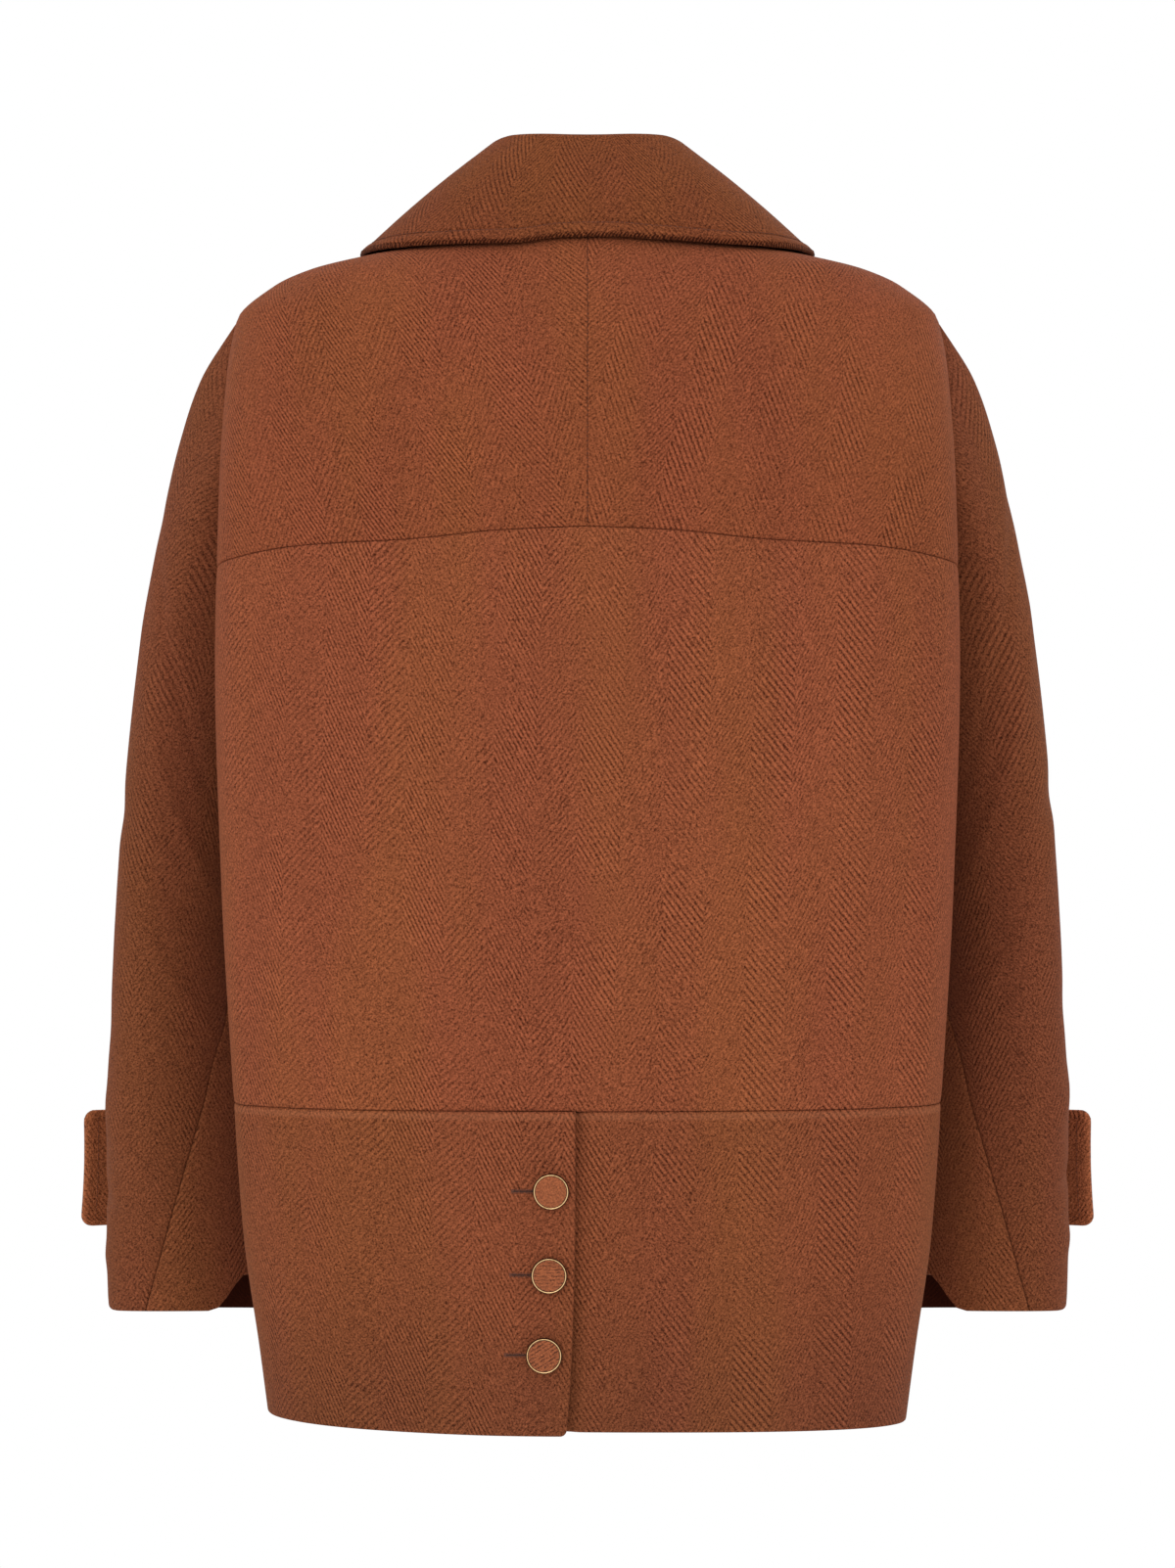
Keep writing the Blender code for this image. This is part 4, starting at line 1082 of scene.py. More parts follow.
def sleeve_folds(turn, down, side):
    """Folds in metres, set a little differently on the two sleeves."""
    high = np.zeros(np.broadcast(turn, down).shape)
    for place, at, lean, width, spread, height in SLEEVE_FOLDS:
        line = place + lean * (turn - at) / 90.0 + FOLDS_DIFFER["down"] * side
        beside = turn - at - FOLDS_DIFFER["turn"] * side
        high = high + height * hill(down - line, width) * hill(beside, spread)
    return high * smoothstep(down, *FOLDS_START)


print("folds on each sleeve:", len(SLEEVE_FOLDS))

# %% Upper and under sleeves
SEAM_DRAWN, DRAWN_BELOW, DRAWN_OVER = 0.0007, (0.058, 0.080), 0.010


def drawn_in(points):
    """How far the seam draws the sleeve's top rows towards the body below the shoulder."""
    upward = unit(points[0] - points[3])
    reach = SEAM_DRAWN * smoothstep(-points[0][:, 2], *DRAWN_BELOW)
    fade = 1.0 - smoothstep(edge_distances(points)["first_row"], 0.0, DRAWN_OVER)
    return upward[None] * (reach[None, :] * fade)[..., None]


TURNS = np.linspace(-140.0, 260.0, 401)
HEIGHTS = np.linspace(SLEEVE[0][0], SLEEVE[-1][0], 124)
GRAIN_TURN = 60.0
TUBE_ROUND, TUBE_DOWN = distances(tube_point, TURNS, HEIGHTS)


def sleeve_threads(turn, z, lean, shift, way):
    """(across, up) over a sleeve. way -1 turns the cloth's twill to lean inwards."""
    across = look_up(TUBE_ROUND, TURNS, HEIGHTS, np.full_like(turn, GRAIN_TURN), z)
    across = across - look_up(TUBE_ROUND, TURNS, HEIGHTS, turn, z)
    up = SLEEVE_THREADS_FROM - look_up(TUBE_DOWN, TURNS, HEIGHTS, turn, z)
    return turned_threads(across * way, up, lean, (shift, 0.0))


def sleeve_piece(side, kind, first, last, lean, shift, way):
    down, share = patch(0.62, 0.17 if kind == "upper" else 0.08)
    place = blend(first, last, share)
    points, normals = sleeve_point(place, down), sleeve_normal(place, down)
    ring_turn, _, body_out = armhole_ring(place[0])
    turn = sleeve_turn(ring_turn, place, down)
    settle = smoothstep(edge_distances(points)["first_row"], 0.0, RING_TURNS_OVER)[..., None]
    inward = blend(inside_ring(points, normals, body_out), -normals, settle)
    points = points + normals * sleeve_folds(turn, down, side)[..., None]
    points = points + drawn_in(points)
    mirror = mirrored(side)
    shell(
        f"sleeve_{kind}_{WORD[side]}",
        points * mirror,
        normals * mirror,
        sleeve_threads(turn, points[..., 2], lean, shift, way),
        edged("seam", last_row="fold"),
        (SLEEVE_WOOL if kind == "upper" else UNDER_WOOL, SHADED_REVERSE),
        "sleeve_wool",
        "hung",
        f"back_yoke_{WORD[side]}_cloth",
        inward=inward * mirror,
    )


for side in WORD:
    sleeve_piece(side, "upper", 0.0, UPPER_PLACES, lean=-6.0, shift=0.012, way=1.0)
    sleeve_piece(side, "under", UPPER_PLACES, RING_PLACES, lean=4.0, shift=0.016, way=-1.0)

# %% [markdown]
# ## Cuff straps
# A strap wraps the front of each cuff and its loose end stands straight out at the
# back. Its outline is a rectangle with rounded corners, edged with a row of stitches.

# %% Cuff straps
STRAP_TOP_Z, STRAP_HEIGHT = -0.5332, 0.0732
STRAP_FROM, STRAP_LEAVES = -118.0, -62.0
STRAP_SHIFT = (0.026, 0.0)
STRAP_REACH_X, STRAP_REACH_FLARE, STRAP_HOLLOW = 0.3172, 0.0022, 0.0011
STRAP_CORNER, STRAP_LIFT, STRAP_INSET, STRAP_ROWS_APART = 0.007, 0.0006, 0.009, 0.0025
STRAP_TURNS = np.linspace(STRAP_FROM, STRAP_LEAVES, 16)
STRAP_STEPS = np.append(np.linspace(0.0, 0.93, 14)[1:], (0.955, 0.975, 0.989, 0.996, 1.0))


def strap_end(drop):
    """Where the strap ends, drawn in at its rounded corners."""
    corner = rolled(np.minimum(drop, 1.0 - drop) * STRAP_HEIGHT, STRAP_CORNER)
    hollow = STRAP_HOLLOW * np.sin(math.pi * drop)
    return STRAP_REACH_X + STRAP_REACH_FLARE * drop - hollow - corner


def strap_middle(drop):
    """Lines along the strap's middle: round the cuff, then straight on."""
    height = STRAP_TOP_Z - STRAP_HEIGHT * drop[:, None]
    turns = STRAP_TURNS[None, :] + 0.0 * height
    held = tube_point(turns, height + 0.0 * turns)
    along = unit(tube_point(turns + 1.0, height + 0.0 * turns) - held)
    out = np.stack([along[..., 1], -along[..., 0], 0.0 * turns], -1)
    held = held + out * (STRAP_LIFT + THICK_CLOTH / 2)
    run = (strap_end(drop) - held[:, -1, 0]) / along[:, -1, 0]
    free = held[:, -1:] + along[:, -1:] * run[:, None, None] * STRAP_STEPS[None, :, None]
    return np.concatenate([held, free], axis=1)


print("each strap stands out to x =", STRAP_REACH_X, "m")


# %% Cloth sewn double
STITCHED_EDGES = ("first_row", "last_row", "last_column")
THREAD_LIES_OUT = {"strap": 0.0001, "collar": 0.0003}


def normals_of(grid):
    return unit(np.cross(np.gradient(grid, axis=0), np.gradient(grid, axis=1)))


def stitched_border(points, inset, raised, sunk, width):
    """Relief of a border: plump up to a row of stitches that sinks into the cloth."""
    apart = edge_distances(points)
    nearest = np.minimum.reduce([apart[edge] for edge in STITCHED_EDGES])
    plump = np.sin(math.pi * within(nearest, 0.0, inset)) ** 0.7
    return raised * plump * (1.0 + 0.2 * uneven(points)) - sunk * hill(nearest - inset, width)


def cuff_strap(side):
    """The strap. Gives back its two faces, for the stitches that lie on them."""
    middle = strap_middle(shares(STRAP_HEIGHT, STRAP_ROWS_APART))
    normals, mirror = normals_of(middle), mirrored(side)
    relief = stitched_border(middle, STRAP_INSET, raised=0.0008, sunk=0.0012, width=0.0010)
    half = (THICK_CLOTH / 2 + relief)[..., None]
    apart = edge_distances(middle)
    # From behind only the strap's reverse shows, so that side has the strap wool, brightened as
    # painted light.
    shell(
        f"cuff_strap_{WORD[side]}",
        (middle + normals * half) * mirror,
        normals * mirror,
        turned_threads(apart["last_column"], -apart["first_row"], 0.0, STRAP_SHIFT),
        edged("fold"),
        (UNDER_WOOL, STRAP_WOOL),
        "sleeve_wool",
        "folded",
        f"sleeve_upper_{WORD[side]}_cloth",
        thick=THICK_CLOTH,
        inward=-normals * (2 * half / THICK_CLOTH) * mirror,
    )
    stitched = normals * (half + THREAD_LIES_OUT["strap"])
    return [(middle + stitched) * mirror, (middle - stitched) * mirror]


strap_faces = {side: cuff_strap(side) for side in WORD}

# %% [markdown]
# ## Collar
# The collar stands up from the neckline, rolls over and falls to a rounded edge with a
# raised, stitched border. It is lofted from lines that run up the stand, over the roll
# and down the fall, one at each angle round the neck, and kept just clear of the body.

# %% Collar
COLLAR = (
    # angle, roll_x, roll_y, roll_z, edge_x, edge_y, edge_z
    (0.0, 0.0000, 0.0510, 0.0620, 0.0000, 0.0860, -0.0018),
    (9.0, 0.0090, 0.0508, 0.0621, 0.0190, 0.0863, -0.0021),
    (20.0, 0.0200, 0.0500, 0.0625, 0.0420, 0.0866, -0.0045),
    (45.0, 0.0440, 0.0360, 0.0637, 0.0930, 0.0748, -0.0056),
    (70.0, 0.0568, 0.0160, 0.0598, 0.1272, 0.0430, -0.0060),
    (90.0, 0.0592, -0.0020, 0.0514, 0.1386, 0.0080, -0.0062),
    (112.0, 0.0575, -0.0180, 0.0430, 0.1388, -0.0200, -0.0077),
    (133.0, 0.0520, -0.0350, 0.0310, 0.1350, -0.0480, -0.0160),
    (150.0, 0.0470, -0.0460, 0.0240, 0.1270, -0.0700, -0.0320),
    (158.0, 0.0400, -0.0540, 0.0160, 0.1160, -0.0850, -0.0500),
    (167.0, 0.0280, -0.0660, 0.0010, 0.0950, -0.1020, -0.0820),
    (174.0, 0.0140, -0.0750, -0.0130, 0.0670, -0.1150, -0.1220),
)
COLLAR_COLUMNS = "angle roll_x roll_y roll_z edge_x edge_y edge_z".split()
COLLAR_ROLL, COLLAR_BOW, COLLAR_CLEARANCE = 0.0055, 0.0035, 0.0010
COLLAR_END, COLLAR_INSET, FALL_MIDDLE = 174.0, 0.0092, -18
OVER_THE_LAP, LAP_LIFT, LEAN_LIFT = (150.0, 165.0), 0.0026, 0.0017
LOWER_LEFT, LOWER_LEFT_AT = np.array([0.0, 0.0011, -0.0011]), (21.0, 11.0)
STAND_ROWS, ROLL_ROWS = np.linspace(0.0, 1.0, 9)[:-1], np.linspace(0.0, 1.0, 13)
FALL_ROWS = np.append(np.linspace(0.0, 0.86, 17)[1:], np.linspace(0.87, 1.0, 14))
UP = np.array([0.0, 0.0, 1.0])
print("collar:", len(COLLAR), "angles,", len(FALL_ROWS), "rows down the fall")


# %% Lines of the collar
def clear_of_body(points):
    """The points, moved straight off the body where the collar would touch it."""
    for _ in range(4):
        z = points[:, 2]
        middle, behind, before = body_depths(z)
        depth = np.where(points[:, 1] > middle, behind, before)
        across = points[:, 0] / body_size("half_width", z)
        angle = np.degrees(np.arctan2(across, (points[:, 1] - middle) / depth))
        out = body_normal(angle, z)
        wanted = COLLAR_CLEARANCE + THICK_CLOTH / 2 + LAP_OUT * smoothstep(angle, *OVER_THE_LAP)
        short = wanted - ((points - body_point(angle, z)) * out).sum(-1)
        points = points + out * np.where(z < BODY[0][0], np.maximum(0.0, short), 0.0)[:, None]
    return points


def collar_middle(angle, side):
    """The collar's middle lines: up the stand, over the roll, down the fall."""
    neck = follow(NECKLINE, angle)
    base = body_point(angle, neck) - body_normal(angle, neck) * LEVEL * (CLOTH / 2)
    roll, edge = (
        np.stack([read(COLLAR, COLLAR_COLUMNS, f"{line}_{a}", angle) for a in "xyz"], -1)
        for line in ("roll", "edge")
    )
    lower_at, lower_spread = LOWER_LEFT_AT
    edge = edge + LOWER_LEFT * side * hill(angle - lower_at, lower_spread)[:, None]
    out = unit((edge - roll) * LEVEL)
    centre = roll - UP * COLLAR_ROLL
    stand_top, fall_top = centre - out * COLLAR_ROLL, centre + out * COLLAR_ROLL
    rise = unit(stand_top - base)
    leaning = np.hypot(rise[:, 0], rise[:, 1])
    lift = LAP_LIFT * smoothstep(angle, *OVER_THE_LAP) + leaning * LEAN_LIFT
    base = base + UP * lift[:, None]
    line = [blend(base, stand_top, s) for s in STAND_ROWS]
    fall = unit(edge - fall_top)
    last = (math.pi - np.arctan2((fall * out).sum(-1), -fall[:, 2]))[:, None]
    for share in ROLL_ROWS:
        turn = last * share
        line.append(centre + COLLAR_ROLL * (UP * np.sin(turn) - out * np.cos(turn)))
    fall_top = line[-1]
    fall = unit(edge - fall_top)
    bow = unit(UP - fall * fall[:, 2:]) * COLLAR_BOW
    for s in FALL_ROWS:
        line.append(clear_of_body(blend(fall_top, edge, s) + bow * math.sin(math.pi * s)))
    return np.stack(line, axis=1) * mirrored(side)


def collar():
    """The collar. Gives back its outer face, for the stitches that lie on it."""
    to_the_point = (1.0 - np.append(np.linspace(0.0, 0.985, 66), 1.0)) ** 1.2
    angle = COLLAR_END * (1.0 - to_the_point)
    middle = np.concatenate([collar_middle(angle, -1)[:0:-1], collar_middle(angle, 1)])
    normals = normals_of(middle)
    relief = stitched_border(middle, COLLAR_INSET, raised=0.0009, sunk=0.0008, width=0.0008)
    points = middle + normals * (THICK_CLOTH / 2 + relief)[..., None]
    apart = edge_distances(middle)
    fall = middle[:, FALL_MIDDLE]
    across = np.pad(np.cumsum(np.linalg.norm(np.diff(fall, axis=0), axis=-1)), (1, 0))
    across = (across - across[len(across) // 2])[:, None] + 0.0 * apart["first_column"]
    uv = np.stack([across, apart["last_column"]], -1)
    finish = (COLLAR_WOOL, COLLAR_WOOL)
    settings = ("collar_wool", "folded", "back_yoke_left_cloth")
    shell("collar", points, normals, uv, edged("fold"), finish, *settings, thick=THICK_CLOTH)
    return points + normals * THREAD_LIES_OUT["collar"]


collar_face = collar()

# %% [markdown]
# ## Buttons
# Three shank buttons fasten the lap of the band behind, and four more the front. Each
# is a turned metal rim that holds a domed top covered in a lighter, ribbed cloth. A
# lathe profile gives both, with enough points to round every edge.

# %% Metal and button cloth
def gold():
    """Turned metal, rubbed paler, with painted shade where its surface turns sideways."""
    finish = Finish("pale_gold", Metallic=1.0)
    rubbed = finish.noise(finish.place(), 700.0, 2.0)
    wear_and_hem_shade = finish.ramp(rubbed, 0.45, 0.75)
    metal = finish.mix(wear_and_hem_shade, (0.82, 0.54, 0.27, 1.0), (0.54, 0.31, 0.13, 1.0))
    normal = finish.node("ShaderNodeNewGeometry", out=1)
    outward = finish.part(normal, 1).math("ABSOLUTE")
    # Where the surface turns sideways the metal is painted dark brown: painted shade, a dark
    # outline round the rim.
    colour = finish.mix(finish.ramp(outward, 0.70, 0.93), (0.075, 0.026, 0.009, 1.0), metal)
    finish.put(wear_and_hem_shade * 0.16 + 0.2, finish.shader.inputs["Roughness"])
    return finish.show(colour, rubbed, 0.12, 0.0001)


RIB_APART, RIB_WANDER, RIB_BREAKS = 0.00205, 0.0016, (0.004, 0.0012)


def ribbed_cloth(name, lean, ribbed):
    """The lighter cloth over a button, its ribs turned by lean degrees."""
    finish = Finish(name, Roughness=0.9, Sheen_Weight=0.1, Specular_IOR_Level=0.25)
    place = finish.place()
    turning = {"Vector": place, "Axis": (0.0, 1.0, 0.0), "Angle": math.radians(lean)}
    turned = finish.node("ShaderNodeVectorRotate", {"rotation_type": "AXIS_ANGLE"}, turning)
    x, z = finish.part(turned, 0), finish.part(turned, 2)
    wander = finish.noise(place, 330.0, 2.0) - 0.5
    ribs = ((z + wander * RIB_WANDER) * (2 * math.pi / RIB_APART)).math("SINE") * 0.5 + 0.5
    lengths = {0: x / RIB_BREAKS[0], 2: z / RIB_BREAKS[1]}
    broken = finish.noise(finish.node("ShaderNodeCombineXYZ", {}, lengths), 1.0)
    grooves = (1.0 - ribs) ** 2.2 * finish.ramp(broken, 0.35, 0.6) * ribbed
    nap = finish.noise(place, 1100.0, 2.0, roughness=0.8)
    shade = 0.56 - grooves * 0.60 + (nap - 0.5) * 1.8
    colour = finish.mix(shade, (0.070, 0.016, 0.005, 1.0), (0.45, 0.130, 0.046, 1.0))
    return finish.show(colour, shade, 0.6, 0.0005)


GOLD = gold()
print("button finishes made")

# %% Turned buttons
BUTTON_WIDTH, BUTTON_RIM, BUTTON_HEIGHT, BUTTON_DOME = 0.0213, 0.0014, 0.0042, 0.0009
BUTTON_FOOT_IN, BUTTON_FLOOR, BUTTON_LIP, RIM_ROUND = 0.0040, 0.0012, 0.0003, 0.00045
BACK_BUTTONS = ((0.0212, -0.5659), (0.0223, -0.6151), (0.0252, -0.6621))
FRONT_BUTTONS_Z = (-0.170, -0.285, -0.400, -0.600)
BUTTON_SIDES, BUTTON_SHARP_FROM, BUTTON_CLEARANCE = 72, 60.0, 0.0003


def rounded(profile, radius):
    """The profile with each corner but its ends cut to a small round."""
    profile = [np.array(p, float) for p in profile]
    out = [profile[0]]
    for before, corner, after in zip(profile, profile[1:], profile[2:]):
        r = min(radius, np.linalg.norm(before - corner) / 2, np.linalg.norm(after - corner) / 2)
        start, end = corner + unit(before - corner) * r, corner + unit(after - corner) * r
        for t in (0.0, 0.33, 0.67, 1.0):
            out.append((1 - t) ** 2 * start + 2 * t * (1 - t) * corner + t * t * end)
    return np.array([*out, profile[-1]])


def turned_piece(name, node, profile, stand, material):
    """A piece turned on its own axis and set on the cloth by the matrix stand."""
    turns = np.arange(BUTTON_SIDES) * 2 * math.pi / BUTTON_SIDES
    ring = profile[1:-1]
    radius, height = ring[:, 0][:, None], ring[:, 1][:, None] + 0.0 * turns
    points = np.stack([radius * np.cos(turns), radius * np.sin(turns), height], -1)
    ends = np.array([[0, 0, profile[0, 1]], [0, 0, profile[-1, 1]]])
    every = np.concatenate([points.reshape(-1, 3), ends])
    at = np.arange(points.shape[0] * BUTTON_SIDES).reshape(-1, BUTTON_SIDES)
    nxt = np.roll(at, -1, axis=1)
    quads = np.stack([at[:-1], at[1:], nxt[1:], nxt[:-1]], -1).reshape(-1, 4).tolist()
    first, last = len(every) - 2, len(every) - 1
    quads += [[first, int(a), int(b)] for a, b in zip(at[0], nxt[0])]
    quads += [[last, int(b), int(a)] for a, b in zip(at[-1], nxt[-1])]
    placed = every @ np.array(stand.to_3x3()).T + np.array(stand.translation)
    piece = to_object(name, placed, quads, [material], sharp_from=BUTTON_SHARP_FROM)
    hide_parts(node)


def button(label, angle, z, lean, ribbed):
    """A metal rim and the domed, covered top that it holds."""
    out = Vector(body_normal(angle, z))
    place = Vector(body_point(angle, z)) + out * (LAP_OUT + BUTTON_CLEARANCE)
    stand = Matrix.Translation(place) @ out.to_track_quat("Z", "Y").to_matrix().to_4x4()
    radius, hollow = BUTTON_WIDTH / 2, BUTTON_WIDTH / 2 - BUTTON_RIM
    floor, lip = BUTTON_HEIGHT - BUTTON_FLOOR, BUTTON_HEIGHT - BUTTON_LIP
    rim = (
        (0.0, floor),
        (hollow, floor),
        (hollow, lip),
        (hollow + BUTTON_RIM * 0.42, BUTTON_HEIGHT),
        (hollow + BUTTON_RIM * 0.60, BUTTON_HEIGHT - 0.0001),
        (radius, BUTTON_HEIGHT - 0.0011),
        (radius, BUTTON_HEIGHT - 0.0016),
        (radius - BUTTON_FOOT_IN, 0.0),
        (0.0, 0.0),
    )
    metal = rounded(rim, RIM_ROUND)
    turned_piece(f"{label}_metal", f"{label}_rim", metal, stand, GOLD)
    top, foot = hollow - 0.0001, floor + BUTTON_CLEARANCE
    turns = np.linspace(0.0, math.pi / 2, 14)
    dome = [(top * math.sin(t) ** 0.9, lip + BUTTON_DOME * math.cos(t)) for t in turns]
    profile = np.array([*dome, (top, foot), (0.0, foot)])
    cloth = ribbed_cloth(f"{label}_ribs", lean, ribbed)
    turned_piece(f"{label}_covering", f"{label}_top", profile, stand, cloth)


RIBS = ((70.0, 0.15), (0.0, 0.8), (-32.0, 1.0))  # lean in degrees, how ribbed
for number, (x, z) in enumerate(BACK_BUTTONS, 1):
    height = np.array(z)
    button(f"back_button_{number}", angle_of_x(x, height), height, *RIBS[number - 1])
for number, z in enumerate(FRONT_BUTTONS_Z, 1):
    button(f"front_button_{number}", np.array(CENTRE_FRONT), np.array(z), 18.0 * number, 0.6)
print("buttons:", len(BACK_BUTTONS) + len(FRONT_BUTTONS_Z))

# %% [markdown]
# ## Stitches
# Thread is thin, but a row of stitches catches the light as a dotted line, so each
# stitch is a short round-ended thread that lies in its groove. A dashed texture would
# stay flat. The rows follow the border of the collar and of each strap.

# %% Threads
def thread(name, colour):
    finish = Finish(name, Roughness=0.8)
    fuzz = finish.noise(finish.place(), 1600.0, 2.0)
    shade = finish.ramp(fuzz, 0.3, 0.7)
    colour = finish.mix(shade, shade_of(colour, 0.6), shade_of(colour, 1.35))
    return finish.show(colour, fuzz, 0.5, 0.0002)


THREAD = thread("matching_thread", (0.120, 0.032, 0.013))
DARK_THREAD = thread("dark_thread", (0.050, 0.014, 0.007))
SLIT_SHADE = thread("slit_shade", (0.020, 0.007, 0.004))
ENDS = ((0.0, 0.4), (0.15, 0.85), (0.5, 1.0), (0.85, 0.85), (1.0, 0.4))
THIN_THREAD, THREAD_WIDTH, SLIT_WIDTH = 0.00024, 0.00026, 0.00030


def threads_mesh(name, starts, ends, radius, material, sides=6):
    """One piece made of short round-ended threads, each from a start to its end."""
    starts, ends = np.asarray(starts, float), np.asarray(ends, float)
    along = unit(ends - starts)
    helper = np.where(np.abs(along[:, 2:]) > 0.9, [[1.0, 0.0, 0.0]], [[0.0, 0.0, 1.0]])
    u = unit(np.cross(along, helper))
    v = np.cross(along, u)
    turns = (np.arange(sides) * 2 * math.pi / sides)[None, :, None]
    ring = np.cos(turns) * u[:, None] + np.sin(turns) * v[:, None]
    middles = [blend(starts, ends, share)[:, None] for share, _ in ENDS]
    rings = [middle + ring * radius * width for middle, (_, width) in zip(middles, ENDS)]
    points = np.stack(rings, axis=1)
    count, layers = points.shape[:2]
    at = np.arange(count * layers * sides).reshape(count, layers, sides)
    nxt = np.roll(at, -1, axis=2)
    quads = np.stack([at[:, :-1], nxt[:, :-1], nxt[:, 1:], at[:, 1:]], -1).reshape(-1, 4)
    caps = at[:, 0, ::-1].tolist() + at[:, -1].tolist()
    to_object(name, points.reshape(-1, 3), quads.tolist() + caps, [material])
    print(f"{name}: {count} threads")


# %% Rows of stitches
STITCH_APART, STITCH_LENGTH = 0.0029, 0.0021
PRICK_APART, PRICK_LENGTH, PRICK_SUNK = 0.0026, 0.0011, 0.00035


def along_line(line, pitch, length, start=0.0, stop=0.0):
    """Starts and ends of stitches spaced along a line of points."""
    run = np.pad(np.cumsum(np.linalg.norm(np.diff(line, axis=0), axis=-1)), (1, 0))
    at = np.arange(start, run[-1] - stop - length, pitch)
    first = np.stack([np.interp(at, run, line[:, a]) for a in range(3)], -1)
    last = np.stack([np.interp(at + length, run, line[:, a]) for a in range(3)], -1)
    return first, last


def inside_line(grid, edge, inset):
    """The line over a grid of points that stays inset from one of its edges."""
    apart = edge_distances(grid)[edge]
    if edge.endswith("row"):
        grid, apart = grid.swapaxes(0, 1), apart.T
    line = []
    for points, distance in zip(grid, apart):
        order = np.argsort(distance)
        line.append([np.interp(inset, distance[order], points[order, a]) for a in range(3)])
    return np.array(line)


def border_stitches(name, faces, edges, inset):
    """Stitches along a border, each row stopping where it meets the next one."""
    starts, ends = [], []
    for face in faces:
        for edge, start, stop in edges:
            line = inside_line(face, edge, inset)
            first, last = along_line(line, STITCH_APART, STITCH_LENGTH, start, stop)
            starts.append(first)
            ends.append(last)
    starts, ends = np.concatenate(starts), np.concatenate(ends)
    threads_mesh(name, starts, ends, THIN_THREAD, THREAD)


def border_rows(inset, held, outer_first):
    """(edge, start, stop) of the rows. Those at the ends start beyond the held part."""
    ends = [("first_row", held, inset), ("last_row", held, inset)]
    outer = [("last_column", inset, inset)]
    return outer + ends if outer_first else ends + outer


rows = border_rows(COLLAR_INSET, 0.030, outer_first=True)
border_stitches("collar_stitches", [collar_face], rows, COLLAR_INSET)
rows = border_rows(STRAP_INSET, 0.001, outer_first=False)
for side, word in WORD.items():
    name = f"cuff_strap_{word}_stitches"
    border_stitches(name, strap_faces[side], rows, STRAP_INSET)

# %% [markdown]
# The centre-back seam of the yoke was pricked by hand: a dotted line of tiny stitches
# that pull the cloth in. They follow the seam from under the collar to the yoke seam.

# %% Centre-back stitches
def seam_stitches():
    z = np.linspace(NECK_Z - 0.006, YOKE_SEAM[0][1] + 0.002, 200)
    angle = 0.0 * z
    line = body_point(angle, z) - body_normal(angle, z) * PRICK_SUNK
    first, last = along_line(line, PRICK_APART, PRICK_LENGTH)
    threads_mesh("yoke_seam_stitches", first, last, THREAD_WIDTH, DARK_THREAD)


seam_stitches()

# %% [markdown]
# ## Buttonholes
# Each buttonhole is a slit whose two edges are wrapped in close stitches, with a short
# bar across its far end. The button hides the near half. The slit runs level, from the
# button away from the lap's edge.

# %% Buttonholes
def on_cloth(angle, z, out):
    """Points on the folded cloth, lifted out from the body."""
    angle, z = np.broadcast_arrays(np.asarray(angle, float), np.asarray(z, float))
    lift = out + soft_folds(angle, z)
    return body_point(angle, z) + body_normal(angle, z) * lift[..., None]


def jitter(count, seed):
    """Uneven but repeatable numbers between -1 and 1."""
    wild = np.sin(np.arange(count) * 12.9898 + seed * 78.233) * 43758.5453
    return 2.0 * (wild - np.floor(wild)) - 1.0


SLIT_LENGTH, SLIT_STARTS, SLIT_LIES_OUT = 0.0216, -0.0020, LAP_OUT + 0.00012
BAR_REACH, BAR_AT, BAR_LIES_OUT = 0.0012, np.array([0.0002, 0.0006, 0.0010]), LAP_OUT + 0.0001
PURL_APART, PURL_LIES_OUT = 0.00052, (LAP_OUT + 0.00020, LAP_OUT + 0.00002)
PURL_REACH, PURL_UNEVEN = 0.00125, {"along": 0.00016, "reach": 0.00030, "slant": 0.0003}


def buttonhole(label, x, z, seed, in_front=False):
    """A level slit that starts at x, with wrapped edges and a bar across its far end."""

    def angle_at(distance):
        angle = angle_of_x(x + distance, np.array(z))
        return angle - CENTRE_FRONT if in_front else angle

    count = int(SLIT_LENGTH / PURL_APART)
    at = np.linspace(SLIT_STARTS, SLIT_LENGTH, count)
    starts, ends = [], []
    for way in (1.0, -1.0):
        near_at = at + PURL_UNEVEN["along"] * jitter(count, seed + way)
        reach = PURL_REACH + PURL_UNEVEN["reach"] * jitter(count, seed + 3.0 * way)
        far_at = near_at + PURL_UNEVEN["slant"] * jitter(count, seed + 5.0 * way)
        starts.append(on_cloth(angle_at(near_at), z + way * SLIT_WIDTH, PURL_LIES_OUT[0]))
        ends.append(on_cloth(angle_at(far_at), z + way * reach, PURL_LIES_OUT[1]))
    bar = angle_at(SLIT_LENGTH + BAR_AT)
    starts.append(on_cloth(bar, z + BAR_REACH, BAR_LIES_OUT))
    ends.append(on_cloth(bar, z - BAR_REACH, BAR_LIES_OUT))
    starts, ends = np.concatenate(starts), np.concatenate(ends)
    threads_mesh(f"{label}_purl", starts, ends, THREAD_WIDTH, THREAD)
    # The slit is a thin dark strip laid on the cloth: painted shade where the opening is.
    slit = angle_at(np.linspace(0.0, SLIT_LENGTH, 14))
    line = on_cloth(slit, z, SLIT_LIES_OUT)
    threads_mesh(f"{label}_slit", line[:-1], line[1:], SLIT_WIDTH, SLIT_SHADE, 8)


for number, (x, z) in enumerate(BACK_BUTTONS, 1):
    buttonhole(f"back_buttonhole_{number}", x, z, number)
for number, z in enumerate(FRONT_BUTTONS_Z, 1):
    buttonhole(f"front_buttonhole_{number}", 0.0, z, 10.0 + number, in_front=True)

# %% [markdown]
# ## Camera, light and floor
# The photograph looks straight at the coat's back from about three metres. Its light
# is flat and soft, so a bright surround does most of the work, and one large soft lamp
# behind the camera gives the cloth its relief. The floor lies where a wearer stands.

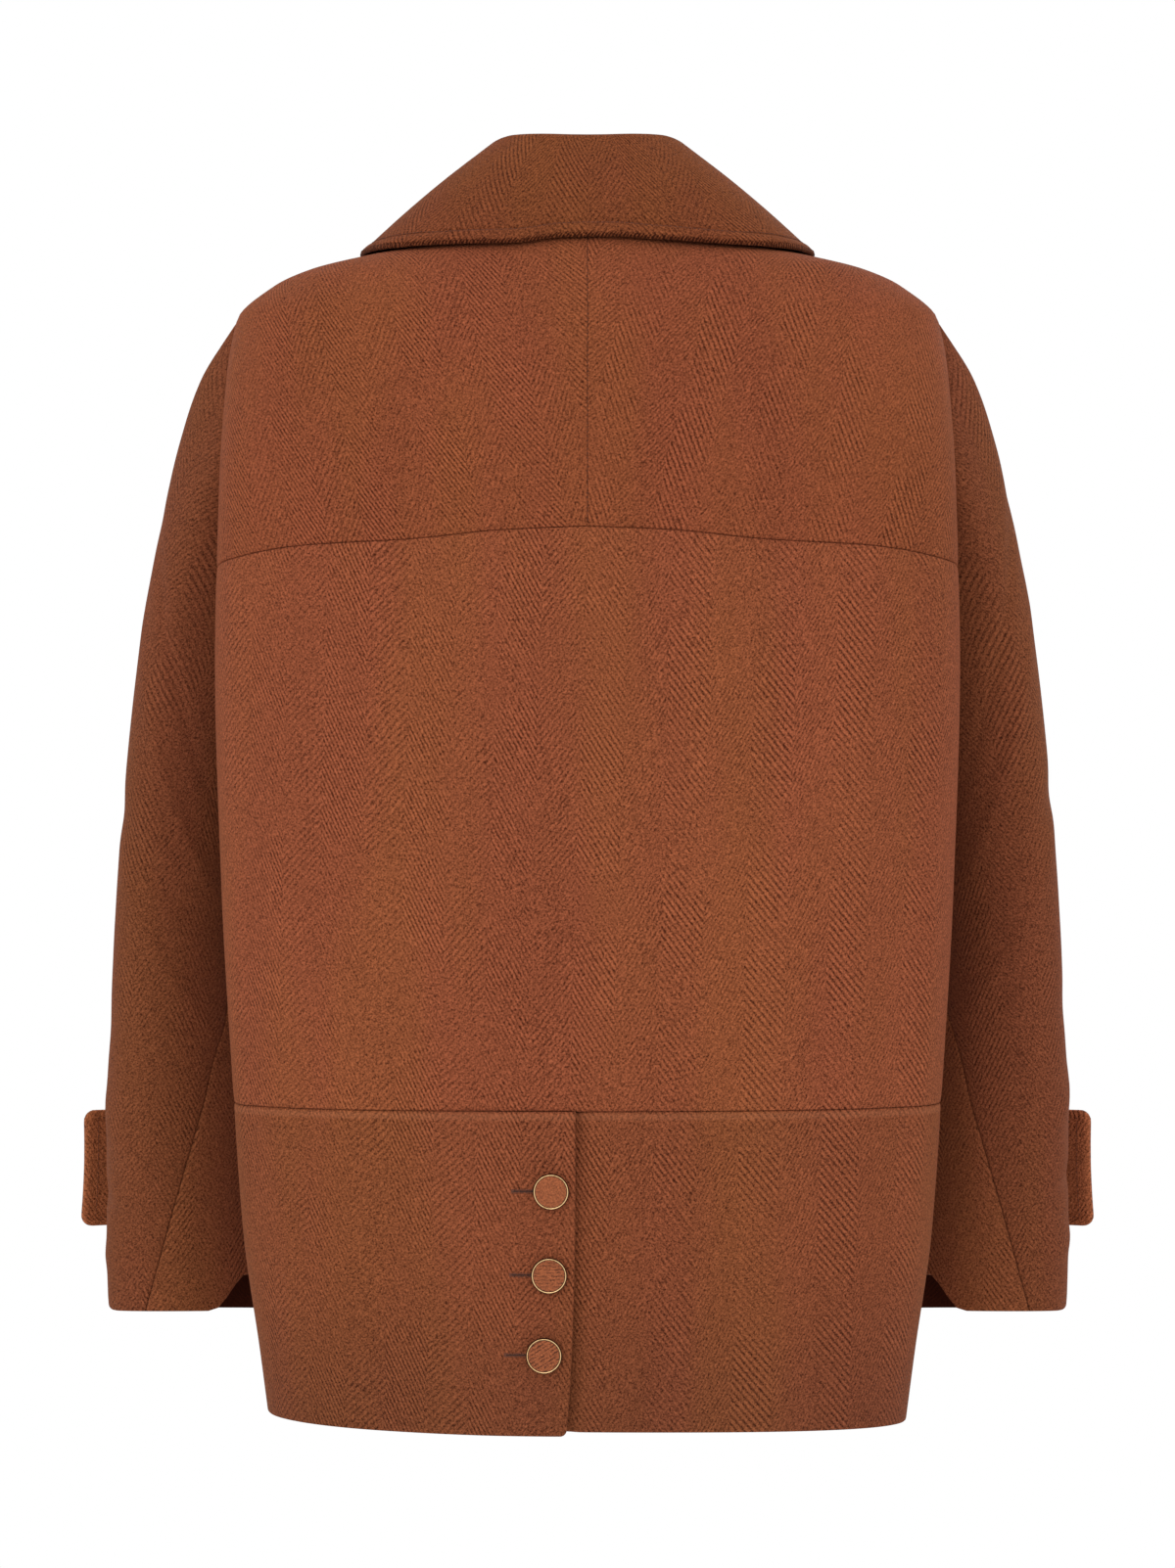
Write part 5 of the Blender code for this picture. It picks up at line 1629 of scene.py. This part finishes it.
# %% Camera, light and floor
SURROUND, LENS, CAMERA_PLACE = 1.10, 112.4, (0.0, 3.0, -0.3276)
COAT_MIDDLE = (0.0, 0.0, -0.35)
FLOOR_Z, FLOOR_HALF = -1.42, 3.0


def in_scene(name, data, place=(0.0, 0.0, 0.0)):
    holder = bpy.data.objects.new(name, data)
    holder.location = place
    bpy.context.scene.collection.objects.link(holder)
    return holder


def soft_lamp(name, place, size, watts):
    """A round soft lamp that points at the coat."""
    lamp = bpy.data.lights.new(name, "AREA")
    lamp.shape, lamp.size, lamp.energy = "DISK", size, watts
    holder = in_scene(name, lamp, place)
    towards = Vector(COAT_MIDDLE) - Vector(place)
    holder.rotation_euler = towards.to_track_quat("-Z", "Y").to_euler()
    holder.visible_camera = False


def camera():
    lens = bpy.data.cameras.new("camera")
    lens.lens, lens.sensor_width, lens.clip_end = LENS, 36.0, 60.0
    holder = in_scene("camera", lens, CAMERA_PLACE)
    holder.rotation_euler = (math.pi / 2, 0.0, math.pi)
    bpy.context.scene.camera = holder


def surround():
    """White to the eye, softer as light."""
    world = bpy.data.worlds.new("studio")
    world.use_nodes = True
    nodes, links = world.node_tree.nodes, world.node_tree.links
    light, seen = nodes["Background"], nodes.new("ShaderNodeBackground")
    light.inputs["Color"].default_value = seen.inputs["Color"].default_value = WHITE
    light.inputs["Strength"].default_value = SURROUND
    path, mix = nodes.new("ShaderNodeLightPath"), nodes.new("ShaderNodeMixShader")
    links.new(path.outputs["Is Camera Ray"], mix.inputs[0])
    links.new(light.outputs[0], mix.inputs[1])
    links.new(seen.outputs[0], mix.inputs[2])
    links.new(mix.outputs[0], nodes["World Output"].inputs["Surface"])
    bpy.context.scene.world = world


def pale_floor():
    """A square of pale floor, where the wearer's feet would be."""
    colour = (0.86, 0.86, 0.85, 1.0)
    finish = Finish("pale_floor", Roughness=0.8)
    grain = finish.noise(finish.place(), 3.0, 3.0)
    paint = finish.mix(grain, colour, shade_of(colour, 0.97))
    finish.put(paint, finish.shader.inputs["Base Color"])
    mesh = bpy.data.meshes.new("floor")
    corners = ((-1, -1), (1, -1), (1, 1), (-1, 1))
    points = [(x * FLOOR_HALF, y * FLOOR_HALF, FLOOR_Z) for x, y in corners]
    mesh.from_pydata(points, [], [(0, 1, 2, 3)])
    mesh.materials.append(finish.material)
    return in_scene("floor", mesh)


surround()
camera()
soft_lamp("key", (0.6, 3.2, 0.9), 1.6, 16.0)
soft_lamp("fill", (-1.2, -3.4, 0.9), 2.2, 20.0)
floor = pale_floor()
bpy.context.scene.view_settings.view_transform = "Standard"
print("camera at", CAMERA_PLACE, "with a lens of", LENS, "mm")
